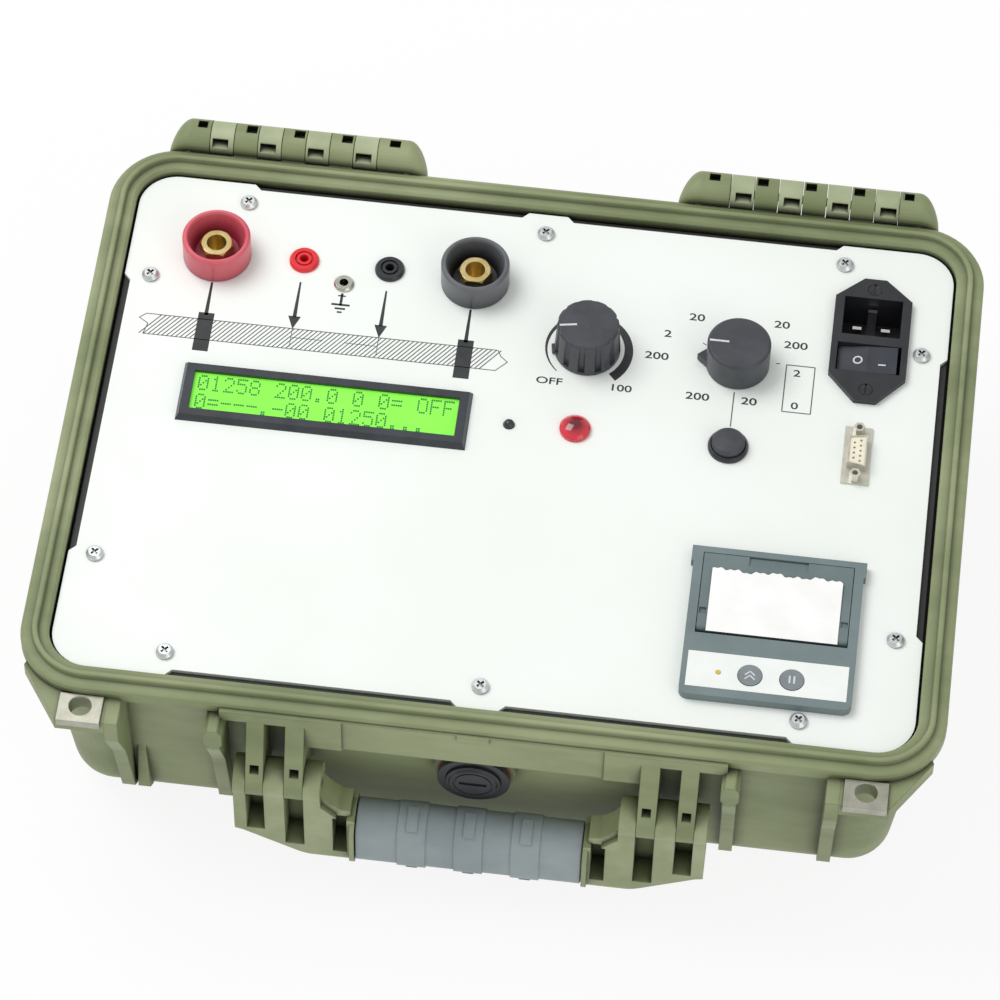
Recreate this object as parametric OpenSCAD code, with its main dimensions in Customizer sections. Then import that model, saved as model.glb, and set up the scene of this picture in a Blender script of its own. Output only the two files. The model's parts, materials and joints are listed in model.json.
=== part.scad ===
// Portable micro ohmmeter, built into the base of a moulded protective case.
// The origin is at the centre of the footprint, on the plane of the feet.
// X runs to the right, Y to the back where the hinges are, Z up out of the front panel.

/* [Case] */
// Width over the moulded rim
case_w = 404; // [380:1:430]
// Depth from the front of the grip to the backs of the hinges
case_d = 330; // [322:1:340]
// Depth over the moulded rim alone
rim_d = 297; // [290:1:300]
// Height of the rim shoulder above the feet
base_h = 119; // [114:1:126]
// Width of the moulded rim
rim_w = 12.5; // [11:0.5:14]
// Height of the moulded rim
rim_t = 9; // [8:0.5:10]
// Radius of the outer corners of the rim
rim_r = 31; // [28:1:36]
// Thickness of the case wall
wall = 3.5; // [2.5:0.25:4.5]
// How far each wall draws in from the rim to the floor
draft = 8; // [5:0.5:10]
// Radius of the edges round the floor
edge_r = 20; // [14:1:24]
// Height of the feet
foot_h = 3; // [2:0.5:5]
// Radius of a foot
foot_r = 12; // [9:1:15]

/* [Hinges] */
// Radius of the hinge barrels
hinge_r = 8.5; // [7.5:0.25:9.5]
// Radius of the hinge pins
hinge_pin_r = 2; // [1.5:0.25:3]
// Length of one hinge knuckle
knuckle = 11.15; // [10:0.05:12]
// Distance of the innermost knuckle joint from the middle of the case
hinge_x = 82; // [78:1:90]
// Height of the hinge axis below the rim shoulder
hinge_drop = 1; // [0:0.25:3]

/* [Handle] */
// Radius of the handle barrels
arm_r = 9; // [8:0.25:10]
// Radius of the handle pins
handle_pin_r = 2.5; // [2:0.25:3.5]
// Depth of the handle axis below the rim shoulder
handle_drop = 48; // [46:1:50]
// Thickness of the grip, front to back
grip_t = 23; // [21:0.5:24]
// Height of the grip as it hangs
grip_w = 38; // [34:0.5:40]
// Length of the grip
grip_l = 101; // [96:1:104]
// Distance from the handle axis to the middle of the grip
grip_reach = 36; // [34:0.5:38]

/* [Panel] */
// Depth of the panel's face below the rim shoulder
panel_drop = 4; // [3:0.5:5]
// Thickness of the panel
panel_t = 2; // [1.5:0.5:3]
// Gap between the panel and the case wall
panel_gap = 1.2; // [0.8:0.1:2]
// Depth of the set-back edges between the panel's tabs
tab_h = 3; // [2:0.5:4]
// Width of the mounting frame under the panel
frame_w = 18; // [17:0.5:20]
// Thickness of the mounting frame
frame_t = 4; // [3:0.5:5]
// Radius of a panel screw's head
screw_head_r = 3.9; // [3.5:0.1:4.3]
// Radius of a panel screw's shank
screw_r = 1.95; // [1.6:0.05:2.2]

/* [Terminals] */
// Outer radius of a current terminal's cup
cup_r = 15.6; // [14:0.2:17]
// Height of a current terminal's cup
cup_h = 14.5; // [12:0.5:18]
// Distance of a current contact across its flats
contact_af = 13.7; // [12:0.1:15]
// Radius of the hole in a current contact
contact_bore_r = 4.5; // [3.5:0.25:5]
// Radius of a sense socket's flange
sense_r = 6.8; // [6:0.1:8]
// Radius of the hole for a test plug
plug_bore_r = 2.05; // [2:0.05:2.2]
// Radius of the earth socket's flange
earth_r = 4.6; // [4:0.1:6]

/* [Display] */
// Width of the display bezel
lcd_w = 131; // [125:1:136]
// Depth of the display bezel
lcd_d = 31.4; // [30:0.2:34]
// Height of the display bezel
lcd_h = 3.2; // [2.5:0.1:4]
// Width of the display's visible window
lcd_view_w = 120; // [114:1:122]
// Depth of the display's visible window
lcd_view_d = 21; // [19:0.5:23]

/* [Controls] */
// Radius of the current knob
current_r = 14; // [12:0.5:16]
// Height of the current knob
current_h = 19.5; // [17:0.5:22]
// Radius of the range knob
range_r = 14.4; // [12:0.2:16]
// Height of the range knob
range_h = 16.5; // [14:0.5:20]
// Radius of the shafts under the knobs
shaft_r = 3; // [2.5:0.25:3.25]
// Radius of the start switch's collar
start_r = 9.1; // [8.5:0.1:11]
// Travel of the start button
start_travel = 3; // [2:0.5:3.5]
// Radius of the warning lamp's lens
lamp_r = 7; // [6.6:0.2:9]
// Radius of the small status lamp
led_r = 2.5; // [2:0.25:3]

/* [Connectors] */
// Width of the mains inlet's flange
inlet_w = 35; // [34:0.5:38]
// Length of the mains inlet's straight sides
inlet_side = 40; // [39:0.5:42]
// Length of the mains inlet from point to point
inlet_l = 68; // [64:1:70]
// Width of the serial connector's flange
serial_w = 12.5; // [12:0.1:14]
// Length of the serial connector's flange
serial_l = 30.8; // [30:0.1:33]

/* [Printer] */
// Width of the printer
printer_w = 75; // [73:0.5:78]
// Depth of the printer
printer_d = 77; // [75:0.5:80]
// Height of the printer above the panel
printer_h = 4.5; // [4:0.25:6]
// Radius of a full roll of paper
roll_r = 17; // [14:0.5:18]
// Width of the paper
paper_w = 57.5; // [54:0.5:58]
// Radius of the two printer buttons
key_r = 5.2; // [4.6:0.1:6.2]

/* [Hidden] */
// Clearances: running fits, seats of round parts, gaps between moving pieces, and cutting overrun
run = 0.05;
fit = 0.2;
gap = 0.3;
over = 1;
smooth = 64;
hull_fn = 40;

// Levels, measured from the feet
panel_z = base_h - panel_drop;
panel_under = panel_z - panel_t;
rim_bottom = base_h - rim_t;
// The inner floor lies where the lowest ring of the faceted inner corner lies
floor_z = foot_h + edge_r - (edge_r - wall) * cos(180 / hull_fn);

// Plan sizes
inner_x = case_w / 2 - rim_w;
inner_y = rim_d / 2 - rim_w;
inner_r = rim_r - rim_w;
rim_x = case_w / 2;
rim_y = rim_d / 2;
panel_x = inner_x - panel_gap;
panel_y = inner_y - panel_gap;
panel_r = inner_r - panel_gap;

// The rim's section from its inner face outwards, as shares of its width and height
rim_shares = [[0, -1], [0, -0.2], [0.08, -0.06], [0.36, -0.02], [0.39, 0.24], [0.43, 0.29],
    [0.53, 0.29], [0.57, 0.24], [0.6, -0.02], [0.84, -0.05], [0.95, -0.14], [1, -0.3], [1, -0.8],
    [0.92, -1]];

// Rounded rectangle of half sizes hx and hy, from z to z + h, with true corner arcs
module slab(hx, hy, r, z, h) {
    translate([-hx, r - hy, z]) cube([2 * hx, 2 * (hy - r), h]);
    translate([r - hx, -hy, z]) cube([2 * (hx - r), 2 * hy, h]);
    for (sx = [-1, 1], sy = [-1, 1])
        translate([sx * (hx - r), sy * (hy - r), z]) cylinder(r = r, h = h, $fn = smooth);
}

// Carries a section round a rounded rectangle of half sizes hx and hy and corner radius r
module ring_sweep(hx, hy, r) {
    for (k = [0:3]) {
        side = k % 2 == 0 ? hx : hy;
        run_l = (k % 2 == 0 ? hy : hx) - r;
        rotate([0, 0, 90 * k]) translate([side, 0, 0]) rotate([90, 0, 0])
            linear_extrude(height = 2 * run_l, center = true) children();
        cx = (k == 0 || k == 3 ? 1 : -1) * (hx - r);
        cy = (k < 2 ? 1 : -1) * (hy - r);
        translate([cx, cy, 0]) rotate([0, 0, 90 * k])
            rotate_extrude(angle = 90, $fn = smooth) translate([r, 0]) children();
    }
}

// A side view, drawn as Y and Z, made into a plate between two X places
module across(x0, x1) {
    translate([x0, 0, 0]) rotate([90, 0, 90]) linear_extrude(height = x1 - x0) children();
}

// A round bar along X between two places
module bar_x(x0, x1, y, z, r) {
    translate([x0, y, z]) rotate([0, 90, 0]) cylinder(r = r, h = x1 - x0, $fn = smooth);
}

// Puts what follows on both sides of the middle plane
module both_sides() {
    children();
    mirror([1, 0, 0]) children();
}

// A box given by its lowest and highest corners
module box(a, b) {
    translate(a) cube(b - a);
}

// The body of the case as a solid, drawn in on every side by a wall of the given thickness
module body_form(inset, top) {
    hx = inner_x + wall;
    hy = inner_y + wall;
    r = inner_r + wall - inset;
    hull() {
        for (sx = [-1, 1], sy = [-1, 1]) {
            translate([sx * (hx - inner_r - wall), sy * (hy - inner_r - wall), rim_bottom])
                cylinder(r = r, h = top - rim_bottom, $fn = hull_fn);
            translate([sx * (hx - draft - edge_r), sy * (hy - draft - edge_r), foot_h + edge_r])
                sphere(r = edge_r - inset, $fn = hull_fn);
        }
    }
}

// Places of the case's outer wall at a height, for what stands on it
wall_top_y = inner_y + wall;
wall_foot_y = wall_top_y - draft;
function wall_y(z) = wall_top_y - draft * (rim_bottom - z) / (rim_bottom - foot_h - edge_r);

// Hinge places
hinge_y = case_d / 2 - hinge_r;
hinge_z = base_h - hinge_drop;
knuckle_gap = gap / 2;
hinge_joints = 8;
hinge_end_x = hinge_x + (hinge_joints - 1) * knuckle;
end_inner = 13;
end_outer = 11;
end_slope = 10;
pocket_w = 5;
pocket_low = 0.4 * hinge_r;
lid_pocket_w = 7.4;
lug_pocket_w = 4;

// Handle places
handle_y = -(case_d / 2 - grip_t / 2);
handle_z = base_h - handle_drop;
finger_outer = 104;
finger_outer_w = 5.5;
lug_outer_w = 8;
finger_mid_w = 9;
lug_inner_w = 8.5;
finger_inner_w = 7.5;
lug_outer_x = finger_outer - finger_outer_w;
finger_mid_x = lug_outer_x - lug_outer_w;
lug_inner_x = finger_mid_x - finger_mid_w;
finger_inner_x = lug_inner_x - lug_inner_w;
arm_end_x = finger_inner_x - finger_inner_w;
arm_t = 16;
arm_drop = 35;
arm_web = 2.5;
arm_window_w = 6.3;

// Front wall pieces
fascia_x = 57;
fascia_step = 1.2;
fascia_y = rim_y + fascia_step;
fascia_h = 16;
fascia_top = rim_bottom + 0.6 * rim_t;
bump_w = 14;
bump_h = 3;
apron_y = fascia_y + 1;
rib_w = 6;
rib_outer_x = 153;
rib_inner_x = 109.2;
rib_foot_z = 16;
rib_foot_y = 137;
rib_head_w = 8;
rib_head_h = 14;
wedge_x = 146;
wedge_top = 56;
block_front = 161.5;
block_t = 8;
block_drop = 2;
block_top = panel_z - block_drop;
plate_w = 19;
plate_x = 160.5;
plate_t = 1.2;
plate_lip = 3.2;
padlock_r = 5;
padlock_y = 154.5;

// Purge valve places
valve_r = 16;
valve_z = handle_z + 1;
valve_boss_t = 1.5;
valve_boss_lip = 2;
valve_boss = wall_top_y + valve_boss_t;
valve_stem_r = 6;
valve_flange_t = 3.2;
valve_cap_r = 12;
valve_cap_t = 2.4;
valve_seal_t = 0.8;

// Feet and inner bosses
foot_in = 42;
foot_x = inner_x - foot_in;
foot_y = inner_y - foot_in;
board_x = 96;
board_y = -62;
board_w = 150;
board_d = 90;
board_t = 1.6;
board_boss_h = 8;
board_boss_r = 4;
board_inset = 6;
ledge_w = 6;
ledge_t = 3;

module hinge_side_profile(r) {
    translate([hinge_y, hinge_z]) circle(r = r, $fn = smooth);
    translate([rim_y - over, hinge_z - r]) square([hinge_y - rim_y + over, r]);
}

module base_knuckles() {
    // The knuckles between the two long ends
    for (k = [1:3]) {
        x0 = hinge_x + (2 * k - 1) * knuckle + knuckle_gap;
        x1 = hinge_x + 2 * k * knuckle - knuckle_gap;
        across(x0, x1) hinge_side_profile(hinge_r);
    }
    // The long ends, cut at a slant where they run out of the rim
    intersection() {
        union() {
            across(hinge_x - end_inner, hinge_x - knuckle_gap) hinge_side_profile(hinge_r);
            across(hinge_end_x + knuckle_gap, hinge_end_x + end_outer) hinge_side_profile(hinge_r);
        }
        translate([0, 0, hinge_z - 2 * hinge_r]) linear_extrude(height = 4 * hinge_r)
            polygon([[hinge_x - end_inner, rim_y - 2 * over], [hinge_x - end_inner, rim_y + over],
                [hinge_x - end_inner + end_slope - 2 * over, hinge_y + hinge_r / 2],
                [hinge_x - end_inner + end_slope, hinge_y + hinge_r + over],
                [hinge_end_x + end_outer - end_slope, hinge_y + hinge_r + over],
                [hinge_end_x + end_outer - end_slope + 2 * over, hinge_y + hinge_r / 2],
                [hinge_end_x + end_outer, rim_y + over], [hinge_end_x + end_outer, rim_y - 2 * over]]);
    }
}

// Hollows in the rim that the lid's knuckles turn in
module lid_knuckle_room() {
    for (k = [0:3])
        bar_x(hinge_x + 2 * k * knuckle - knuckle_gap, hinge_x + (2 * k + 1) * knuckle + knuckle_gap,
            hinge_y, hinge_z, hinge_r + gap);
}

module base_knuckle_pockets() {
    // Moulded core-outs in the top of each fixed knuckle
    starts = [hinge_x - 2 * pocket_w, hinge_x + knuckle + over, hinge_x + 3 * knuckle + over,
        hinge_x + 5 * knuckle + over, hinge_end_x + 2 * over];
    for (x = starts)
        box([x, hinge_y - hinge_r / 10, hinge_z + pocket_low],
            [x + pocket_w, hinge_y + hinge_r / 2, hinge_z + hinge_r + over]);
}

module handle_lug(x0, x1) {
    across(x0, x1) {
        translate([handle_y, handle_z]) circle(r = arm_r, $fn = smooth);
        polygon([[-wall_foot_y, handle_z - arm_r * 1.2], [handle_y, handle_z - arm_r],
            [handle_y - arm_r, handle_z], [-apron_y, rim_bottom], [-apron_y, fascia_top],
            [-wall_foot_y, fascia_top]]);
    }
}

// Small square core-outs just above the barrels of the fixed lugs
module lug_pockets() {
    low = handle_z + arm_r + over;
    for (x = [lug_outer_x - lug_outer_w, lug_inner_x - lug_inner_w])
        box([x + 2 * over, handle_y - arm_r, low], [x + 2 * over + lug_pocket_w, handle_y + arm_r / 2,
            low + pocket_w]);
}

module front_rib(x0, x1, front, top) {
    // A fin from the rim to just above the floor, deepest under the rim
    across(x0, x1) polygon([[-wall_foot_y + wall / 2, rib_foot_z], [-wall_foot_y, rib_foot_z],
        [-rib_foot_y, rib_foot_z + rib_w], [-(rib_foot_y + front) / 2, handle_z],
        [-front, top - rib_head_h], [-front, top], [-wall_foot_y + wall / 2, top]]);
}

// The thicker upper end of an inner rib, six-sided from the front
module rib_head() {
    translate([rib_inner_x + rib_w / 2, -wall_foot_y, rim_bottom]) rotate([90, 0, 0])
        linear_extrude(height = block_front - wall + over / 2 - wall_foot_y)
            polygon([[-rib_head_w / 4, over], [-rib_head_w / 2, -rib_head_w / 4],
                [-rib_head_w / 2, rib_head_w / 2 - rib_head_h], [0, -rib_head_h],
                [rib_head_w / 2, rib_head_w / 2 - rib_head_h], [rib_head_w / 2, -rib_head_w / 4],
                [rib_head_w / 4, over]]);
}

// The short tapered rib beside the outer rib on the left
module left_wedge() {
    mirror([1, 0, 0]) intersection() {
        across(wedge_x, wedge_x + rib_w) polygon([[-wall_foot_y + wall / 2, rib_foot_z],
            [-wall_foot_y, rib_foot_z], [-rib_foot_y, rib_foot_z + rib_w],
            [-wall_y(wedge_top) - over, wedge_top - rib_w], [-wall_y(wedge_top) + over, wedge_top]]);
        translate([wedge_x, 0, rib_foot_z - over]) rotate([90, 0, 0])
            linear_extrude(height = block_front)
                polygon([[0, 0], [rib_w, 0], [0.7 * rib_w, wedge_top], [0.3 * rib_w, wedge_top]]);
    }
}

// The block that a padlock plate lies on, from an X place to the corner
module corner_block(x0) {
    translate([0, 0, block_top - block_t]) linear_extrude(height = block_t)
        polygon([[x0, -wall_foot_y], [rim_x - rim_w / 2, -wall_foot_y],
            [rim_x - rim_w / 3, -rim_y + rim_w], [plate_x + plate_w + over, -block_front],
            [x0, -block_front]]);
}

module rim_outline(z, h) {
    slab(rim_x, rim_y, rim_r, z, h);
}

module case_base() {
    color("#7f8660") difference() {
        union() {
            difference() {
                union() {
                    body_form(0, rim_bottom + rim_t / 2);
                    both_sides() {
                        base_knuckles();
                        handle_lug(lug_outer_x - lug_outer_w + knuckle_gap, lug_outer_x - knuckle_gap);
                        handle_lug(lug_inner_x - lug_inner_w + knuckle_gap, lug_inner_x - knuckle_gap);
                        box([fascia_x, -apron_y, rim_bottom - fascia_h],
                            [finger_inner_x + lug_inner_w / 2, -wall_foot_y, fascia_top]);
                        box([fascia_x, -apron_y, rim_bottom - over], [rib_inner_x + over, -wall_top_y,
                            fascia_top]);
                        front_rib(rib_outer_x, rib_outer_x + rib_w, block_front, block_top);
                        front_rib(rib_inner_x, rib_inner_x + rib_w, block_front - wall, rim_bottom);
                        rib_head();
                        intersection() {
                            corner_block(rib_outer_x);
                            rim_outline(block_top - 2 * block_t, 3 * block_t);
                        }
                    }
                    left_wedge();
                    box([-fascia_x - over, -fascia_y, rim_bottom - fascia_h],
                        [fascia_x + over, -wall_foot_y, fascia_top]);
                    box([-bump_w / 2, -fascia_y - over, fascia_top - bump_h], [bump_w / 2, -wall_top_y,
                        fascia_top]);
                    translate([0, -wall_foot_y + over, valve_z]) rotate([90, 0, 0])
                        cylinder(r = valve_r + valve_boss_lip, h = valve_boss - wall_foot_y + over,
                            $fn = smooth);
                    for (sx = [-1, 1], sy = [-1, 1])
                        translate([sx * foot_x, sy * foot_y, 0])
                            cylinder(r = foot_r, h = foot_h + wall - over, $fn = smooth);
                }
                body_form(wall, base_h + over);
                slab(inner_x, inner_y, inner_r, panel_under - frame_t, rim_t + 2 * frame_t);
                both_sides() {
                    base_knuckle_pockets();
                    lug_pockets();
                }
            }
            translate([0, 0, base_h]) ring_sweep(inner_x, inner_y, inner_r)
                polygon([for (p = rim_shares) [p[0] * rim_w, p[1] * rim_t]]);
            difference() {
                slab(inner_x + wall / 2, inner_y + wall / 2, inner_r + wall / 2,
                    panel_under - frame_t - ledge_t, ledge_t);
                slab(inner_x - ledge_w, inner_y - ledge_w, inner_r,
                    panel_under - frame_t - ledge_t - over, ledge_t + 2 * over);
            }
            for (sx = [-1, 1], sy = [-1, 1])
                translate([board_x + sx * (board_w / 2 - board_inset),
                    board_y + sy * (board_d / 2 - board_inset), floor_z - wall / 2])
                    cylinder(r = board_boss_r, h = board_boss_h + wall / 2, $fn = smooth);
        }
        both_sides() {
            lid_knuckle_room();
            bar_x(hinge_x - end_inner + over, hinge_end_x + end_outer + 2 * over, hinge_y, hinge_z,
                hinge_pin_r + run);
            bar_x(finger_mid_x - lug_inner_w - 2 * finger_mid_w, lug_outer_x + over, handle_y, handle_z,
                handle_pin_r + run);
        }
        translate([0, -inner_y + 2 * draft, valve_z]) rotate([90, 0, 0])
            cylinder(r = valve_stem_r + fit, h = valve_boss, $fn = smooth);
    }
}

module hinge_pins() {
    color("#8d8f8c") both_sides()
        bar_x(hinge_x - end_inner + 2 * over, hinge_end_x + end_outer, hinge_y, hinge_z, hinge_pin_r);
}

// The four knuckles of the lid on one hinge, with the roots of the lid's back wall
module lid_knuckles() {
    for (k = [0:3]) {
        x0 = hinge_x + 2 * k * knuckle + knuckle_gap;
        x1 = x0 + knuckle - gap;
        difference() {
            across(x0, x1) difference() {
                union() {
                    translate([hinge_y, hinge_z]) circle(r = hinge_r, $fn = smooth);
                    translate([hinge_y, hinge_z - hinge_r]) square([hinge_r, wall]);
                }
                translate([hinge_y, hinge_z]) circle(r = hinge_pin_r + run, $fn = smooth);
            }
            box([x1 - over - lid_pocket_w, hinge_y - hinge_r - over, hinge_z + pocket_low],
                [x1 - over, hinge_y, hinge_z + 2 * pocket_low]);
        }
    }
}

module lid_knuckles_right() {
    color("#89906a") lid_knuckles();
}

module lid_knuckles_left() {
    color("#89906a") mirror([1, 0, 0]) lid_knuckles();
}

// The part of each corner block that stands out in front of the rim, with the padlock's hole
module padlock_blocks() {
    color("#7f8660") both_sides() difference() {
        corner_block(rib_outer_x + rib_w);
        rim_outline(block_top - 2 * block_t, 3 * block_t);
        translate([plate_x + plate_w / 2, -padlock_y, block_top - 2 * block_t])
            cylinder(r = padlock_r, h = 3 * block_t, $fn = smooth);
    }
}

module padlock_plates() {
    color("#cdc8be") both_sides() difference() {
        union() {
            box([plate_x, -block_front - plate_t, block_top],
                [plate_x + plate_w, -rim_y - gap, block_top + plate_t]);
            box([plate_x, -block_front - plate_t, block_top - plate_lip],
                [plate_x + plate_w, -block_front, block_top + plate_t]);
        }
        translate([plate_x + plate_w / 2, -padlock_y, block_top - over])
            cylinder(r = padlock_r, h = plate_t + 2 * over, $fn = smooth);
    }
}

// Front view of one handle arm, with its windows, as X and Z from the handle axis
module arm_front() {
    grip_top = -grip_reach + grip_w / 2;
    grip_low = -grip_reach - grip_w / 2;
    window_3 = grip_l / 2 + wall;
    difference() {
        polygon([[finger_outer, arm_r], [finger_outer, over - arm_drop], [finger_outer - wall, -arm_drop],
            [arm_end_x - wall, grip_low - over], [grip_l / 2, grip_low - over / 2],
            [grip_l / 2, grip_top - over], [arm_end_x - 2 * wall, grip_top], [arm_end_x, -arm_r],
            [arm_end_x, arm_r]]);
        translate([finger_mid_x, -arm_drop + arm_web]) square([lug_outer_w, 2 * arm_drop]);
        translate([finger_inner_x, grip_low + 5 * arm_web]) square([lug_inner_w, 2 * arm_drop]);
        translate([window_3, grip_low + 4 * arm_web]) square([arm_window_w, grip_w - 4 * arm_web]);
    }
}

module handle_frame() {
    arm_foot_z = handle_z - grip_reach - grip_w / 2 + arm_t / 2 - over;
    collar_w = 2.2;
    color("#808a62") {
        both_sides() difference() {
            union() {
                across(grip_l / 2, grip_l / 2 + collar_w) grip_section(0);
                intersection() {
                    translate([0, handle_y + arm_r, handle_z]) rotate([90, 0, 0])
                        linear_extrude(height = 2 * arm_r) arm_front();
                    across(grip_l / 2, finger_outer) {
                        translate([handle_y, handle_z]) circle(r = arm_r, $fn = smooth);
                        translate([handle_y - arm_t / 2, arm_foot_z]) square([arm_t,
                            handle_z - arm_foot_z]);
                        translate([handle_y, arm_foot_z]) circle(r = arm_t / 2, $fn = smooth);
                    }
                }
            }
            bar_x(arm_end_x - over, finger_outer + over, handle_y, handle_z, handle_pin_r + run);
            // The core-out in the top of the bridge beside the grip
            box([grip_l / 2 + collar_w, handle_y - arm_t / 3, handle_z - grip_reach + grip_w / 8],
                [arm_end_x - wall, handle_y + arm_t / 3, handle_z]);
        }
        box([-grip_l / 2 - over, handle_y - grip_t / 4, handle_z - grip_reach - grip_w / 3],
            [grip_l / 2 + over, handle_y + grip_t / 4, handle_z - grip_reach + grip_w / 3]);
    }
}

// Section of the grip: two round edges and flat faces, larger or smaller by d
module grip_section(d) {
    half = (grip_w - grip_t) / 2;
    for (s = [-1, 1])
        translate([handle_y, handle_z - grip_reach + s * half])
            circle(r = grip_t / 2 + d, $fn = smooth);
    translate([handle_y - grip_t / 2 - d, handle_z - grip_reach - half])
        square([grip_t + 2 * d, 2 * half]);
}

module handle_grip() {
    band_w = grip_l / 8;
    band_pitch = grip_l / 4;
    band_t = 0.7;
    pad_w = 5;
    color("#7e8a90") difference() {
        union() {
            across(-grip_l / 2 + band_t, grip_l / 2 - band_t) grip_section(-2 * band_t);
            for (k = [-1:1]) {
                across(k * band_pitch - band_w / 2, k * band_pitch + band_w / 2) grip_section(-band_t);
                // The raised pads on the bands, one towards the thumb and one under the fingers
                intersection() {
                    across(k * band_pitch - pad_w / 2, k * band_pitch + pad_w / 2) grip_section(0);
                    for (z = [0.4 * grip_w, -0.6 * grip_w])
                        box([k * band_pitch - band_w, handle_y - grip_t, handle_z - grip_reach + z],
                            [k * band_pitch + band_w, handle_y + grip_t / 8,
                                handle_z - grip_reach + z + grip_w / 5]);
                }
            }
            for (s = [-1, 1])
                across(s * (grip_l / 2 - band_t) - band_t / 2, s * (grip_l / 2 - band_t) + band_t / 2)
                    grip_section(-3 * band_t);
        }
        box([-grip_l / 2 - over, handle_y - grip_t / 4, handle_z - grip_reach - grip_w / 3],
            [grip_l / 2 + over, handle_y + grip_t / 4, handle_z - grip_reach + grip_w / 3]);
    }
}

module handle_pins() {
    color("#8d8f8c") both_sides()
        bar_x(arm_end_x + over / 2, finger_outer - over / 2, handle_y, handle_z, handle_pin_r);
}

// A disc that faces the front, from one depth to another
module front_disc(r, y0, y1) {
    translate([0, -y0, valve_z]) rotate([90, 0, 0]) cylinder(r = r, h = y1 - y0, $fn = smooth);
}

module purge_valve_body() {
    face = valve_boss + valve_seal_t;
    color("#2c2e33") difference() {
        union() {
            front_disc(valve_r, face, face + valve_flange_t);
            front_disc(valve_stem_r, valve_boss - 5 * wall, face + over);
        }
        front_disc(valve_cap_r + fit, face + valve_flange_t - valve_cap_t / 2, face + 2 * valve_flange_t);
    }
}

module purge_valve_seal() {
    color("#b3402f") difference() {
        front_disc(valve_r, valve_boss, valve_boss + valve_seal_t);
        front_disc(valve_stem_r + fit, valve_boss - over, valve_boss + 2 * over);
    }
}

module purge_valve_cap() {
    seat = valve_boss + valve_seal_t + valve_flange_t - valve_cap_t / 2;
    color("#3a3c42") difference() {
        union() {
            front_disc(valve_cap_r, seat, seat + valve_cap_t);
            translate([0, -seat - valve_cap_t, valve_z]) rotate([90, 0, 0])
                cylinder(r1 = valve_cap_r - over, r2 = valve_cap_r - 2 * over, h = over, $fn = smooth);
        }
        box([-valve_cap_r / 2, -seat - 2 * valve_cap_t, valve_z - over],
            [valve_cap_r / 2, -seat - valve_cap_t, valve_z + over]);
        difference() {
            front_disc(valve_cap_r - 3 * over, seat + valve_cap_t + over / 2, seat + 3 * valve_cap_t);
            front_disc(valve_cap_r - 4 * over, seat, seat + 4 * valve_cap_t);
        }
    }
}

// Places of the ten panel screws
screw_x_outer = 138;
screw_in_y = 11.3;
screw_in_x = 11.8;
screw_y_outer = panel_y - screw_in_y;
screw_x_side = panel_x - screw_in_x;
screw_y_side = 77;
tab_in = 1.5;
tab_x = screw_x_outer - tab_in;
tab_mid = 9;
tab_side = screw_y_side - tab_in / 3;
screw_places = concat([for (sx = [-1, 0, 1], sy = [-1, 1]) [sx * screw_x_outer, sy * screw_y_outer]],
    [for (sx = [-1, 1], sy = [-1, 1]) [sx * screw_x_side, sy * screw_y_side]]);

module panel_frame() {
    color("#2b2b2b") difference() {
        slab(panel_x, panel_y, panel_r, panel_under - frame_t, frame_t);
        slab(panel_x - frame_w, panel_y - frame_w, panel_r / 2, panel_under - frame_t - over,
            frame_t + 2 * over);
        for (p = screw_places)
            translate([p[0], p[1], panel_under - frame_t - over])
                cylinder(r = screw_r + run, h = frame_t + 2 * over, $fn = smooth);
    }
}

// Places of the parts on the panel
red_cup = [-148, 92.4];
black_cup = [-29, 92.4];
red_sense = [-108, 94];
black_sense = [-68.5, 94];
earth = [-88.2, 83.3];
lcd = [-87.6, 14.6];
led = [-4.2, 15.5];
lamp = [25.4, 16.6];
current = [26, 61.4];
range = [94.3, 62];
start = [94.3, 16];
inlet = [152.8, 81.3];
serial = [151.8, 18.2];
printer = [122.6, -79.6];

// Sizes that a part shares with its hole in the panel
cup_neck_r = 12.5;
sense_neck_r = 5.8;
earth_neck_r = 3.8;
lamp_neck_r = 5.8;
bush_r = 4.9;
start_neck_r = 7.6;
seat_lip = 2;
glass_w = lcd_view_w + 2 * seat_lip;
glass_d = lcd_view_d + 2 * seat_lip;
inlet_body_w = inlet_w - 3 * seat_lip;
inlet_body_front = inlet_side / 2 + seat_lip;
inlet_body_back = inlet_side / 2 + 2.5 * seat_lip;
inlet_body_l = inlet_body_front + inlet_body_back;
inlet_shoulder = 3;
inlet_screw_in = 6;
serial_lip = 1.5;
serial_body_w = serial_w - serial_lip;
serial_body_l = 20;
jack_pitch = 25;
jack_r = 1.5;
jack_hex_r = 2.6;
tub_in = 3;
tub_w = printer_w - 2 * tub_in;
tub_d = printer_d - 2 * tub_in;

module panel_hole(at, r) {
    translate([at[0], at[1], panel_under - over]) cylinder(r = r, h = panel_t + 2 * over, $fn = smooth);
}

module panel_slot(at, w, d) {
    translate([at[0] - w / 2, at[1] - d / 2, panel_under - over]) cube([w, d, panel_t + 2 * over]);
}

// One set-back stretch of the panel's edge, from a to b along the top edge
module edge_notch(a, b, edge) {
    translate([0, edge, panel_under - over]) linear_extrude(height = panel_t + 2 * over)
        polygon([[a + tab_h, -tab_h], [b - tab_h, -tab_h], [b, 0], [b + over, over], [a - over, over],
            [a, 0]]);
}

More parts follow.
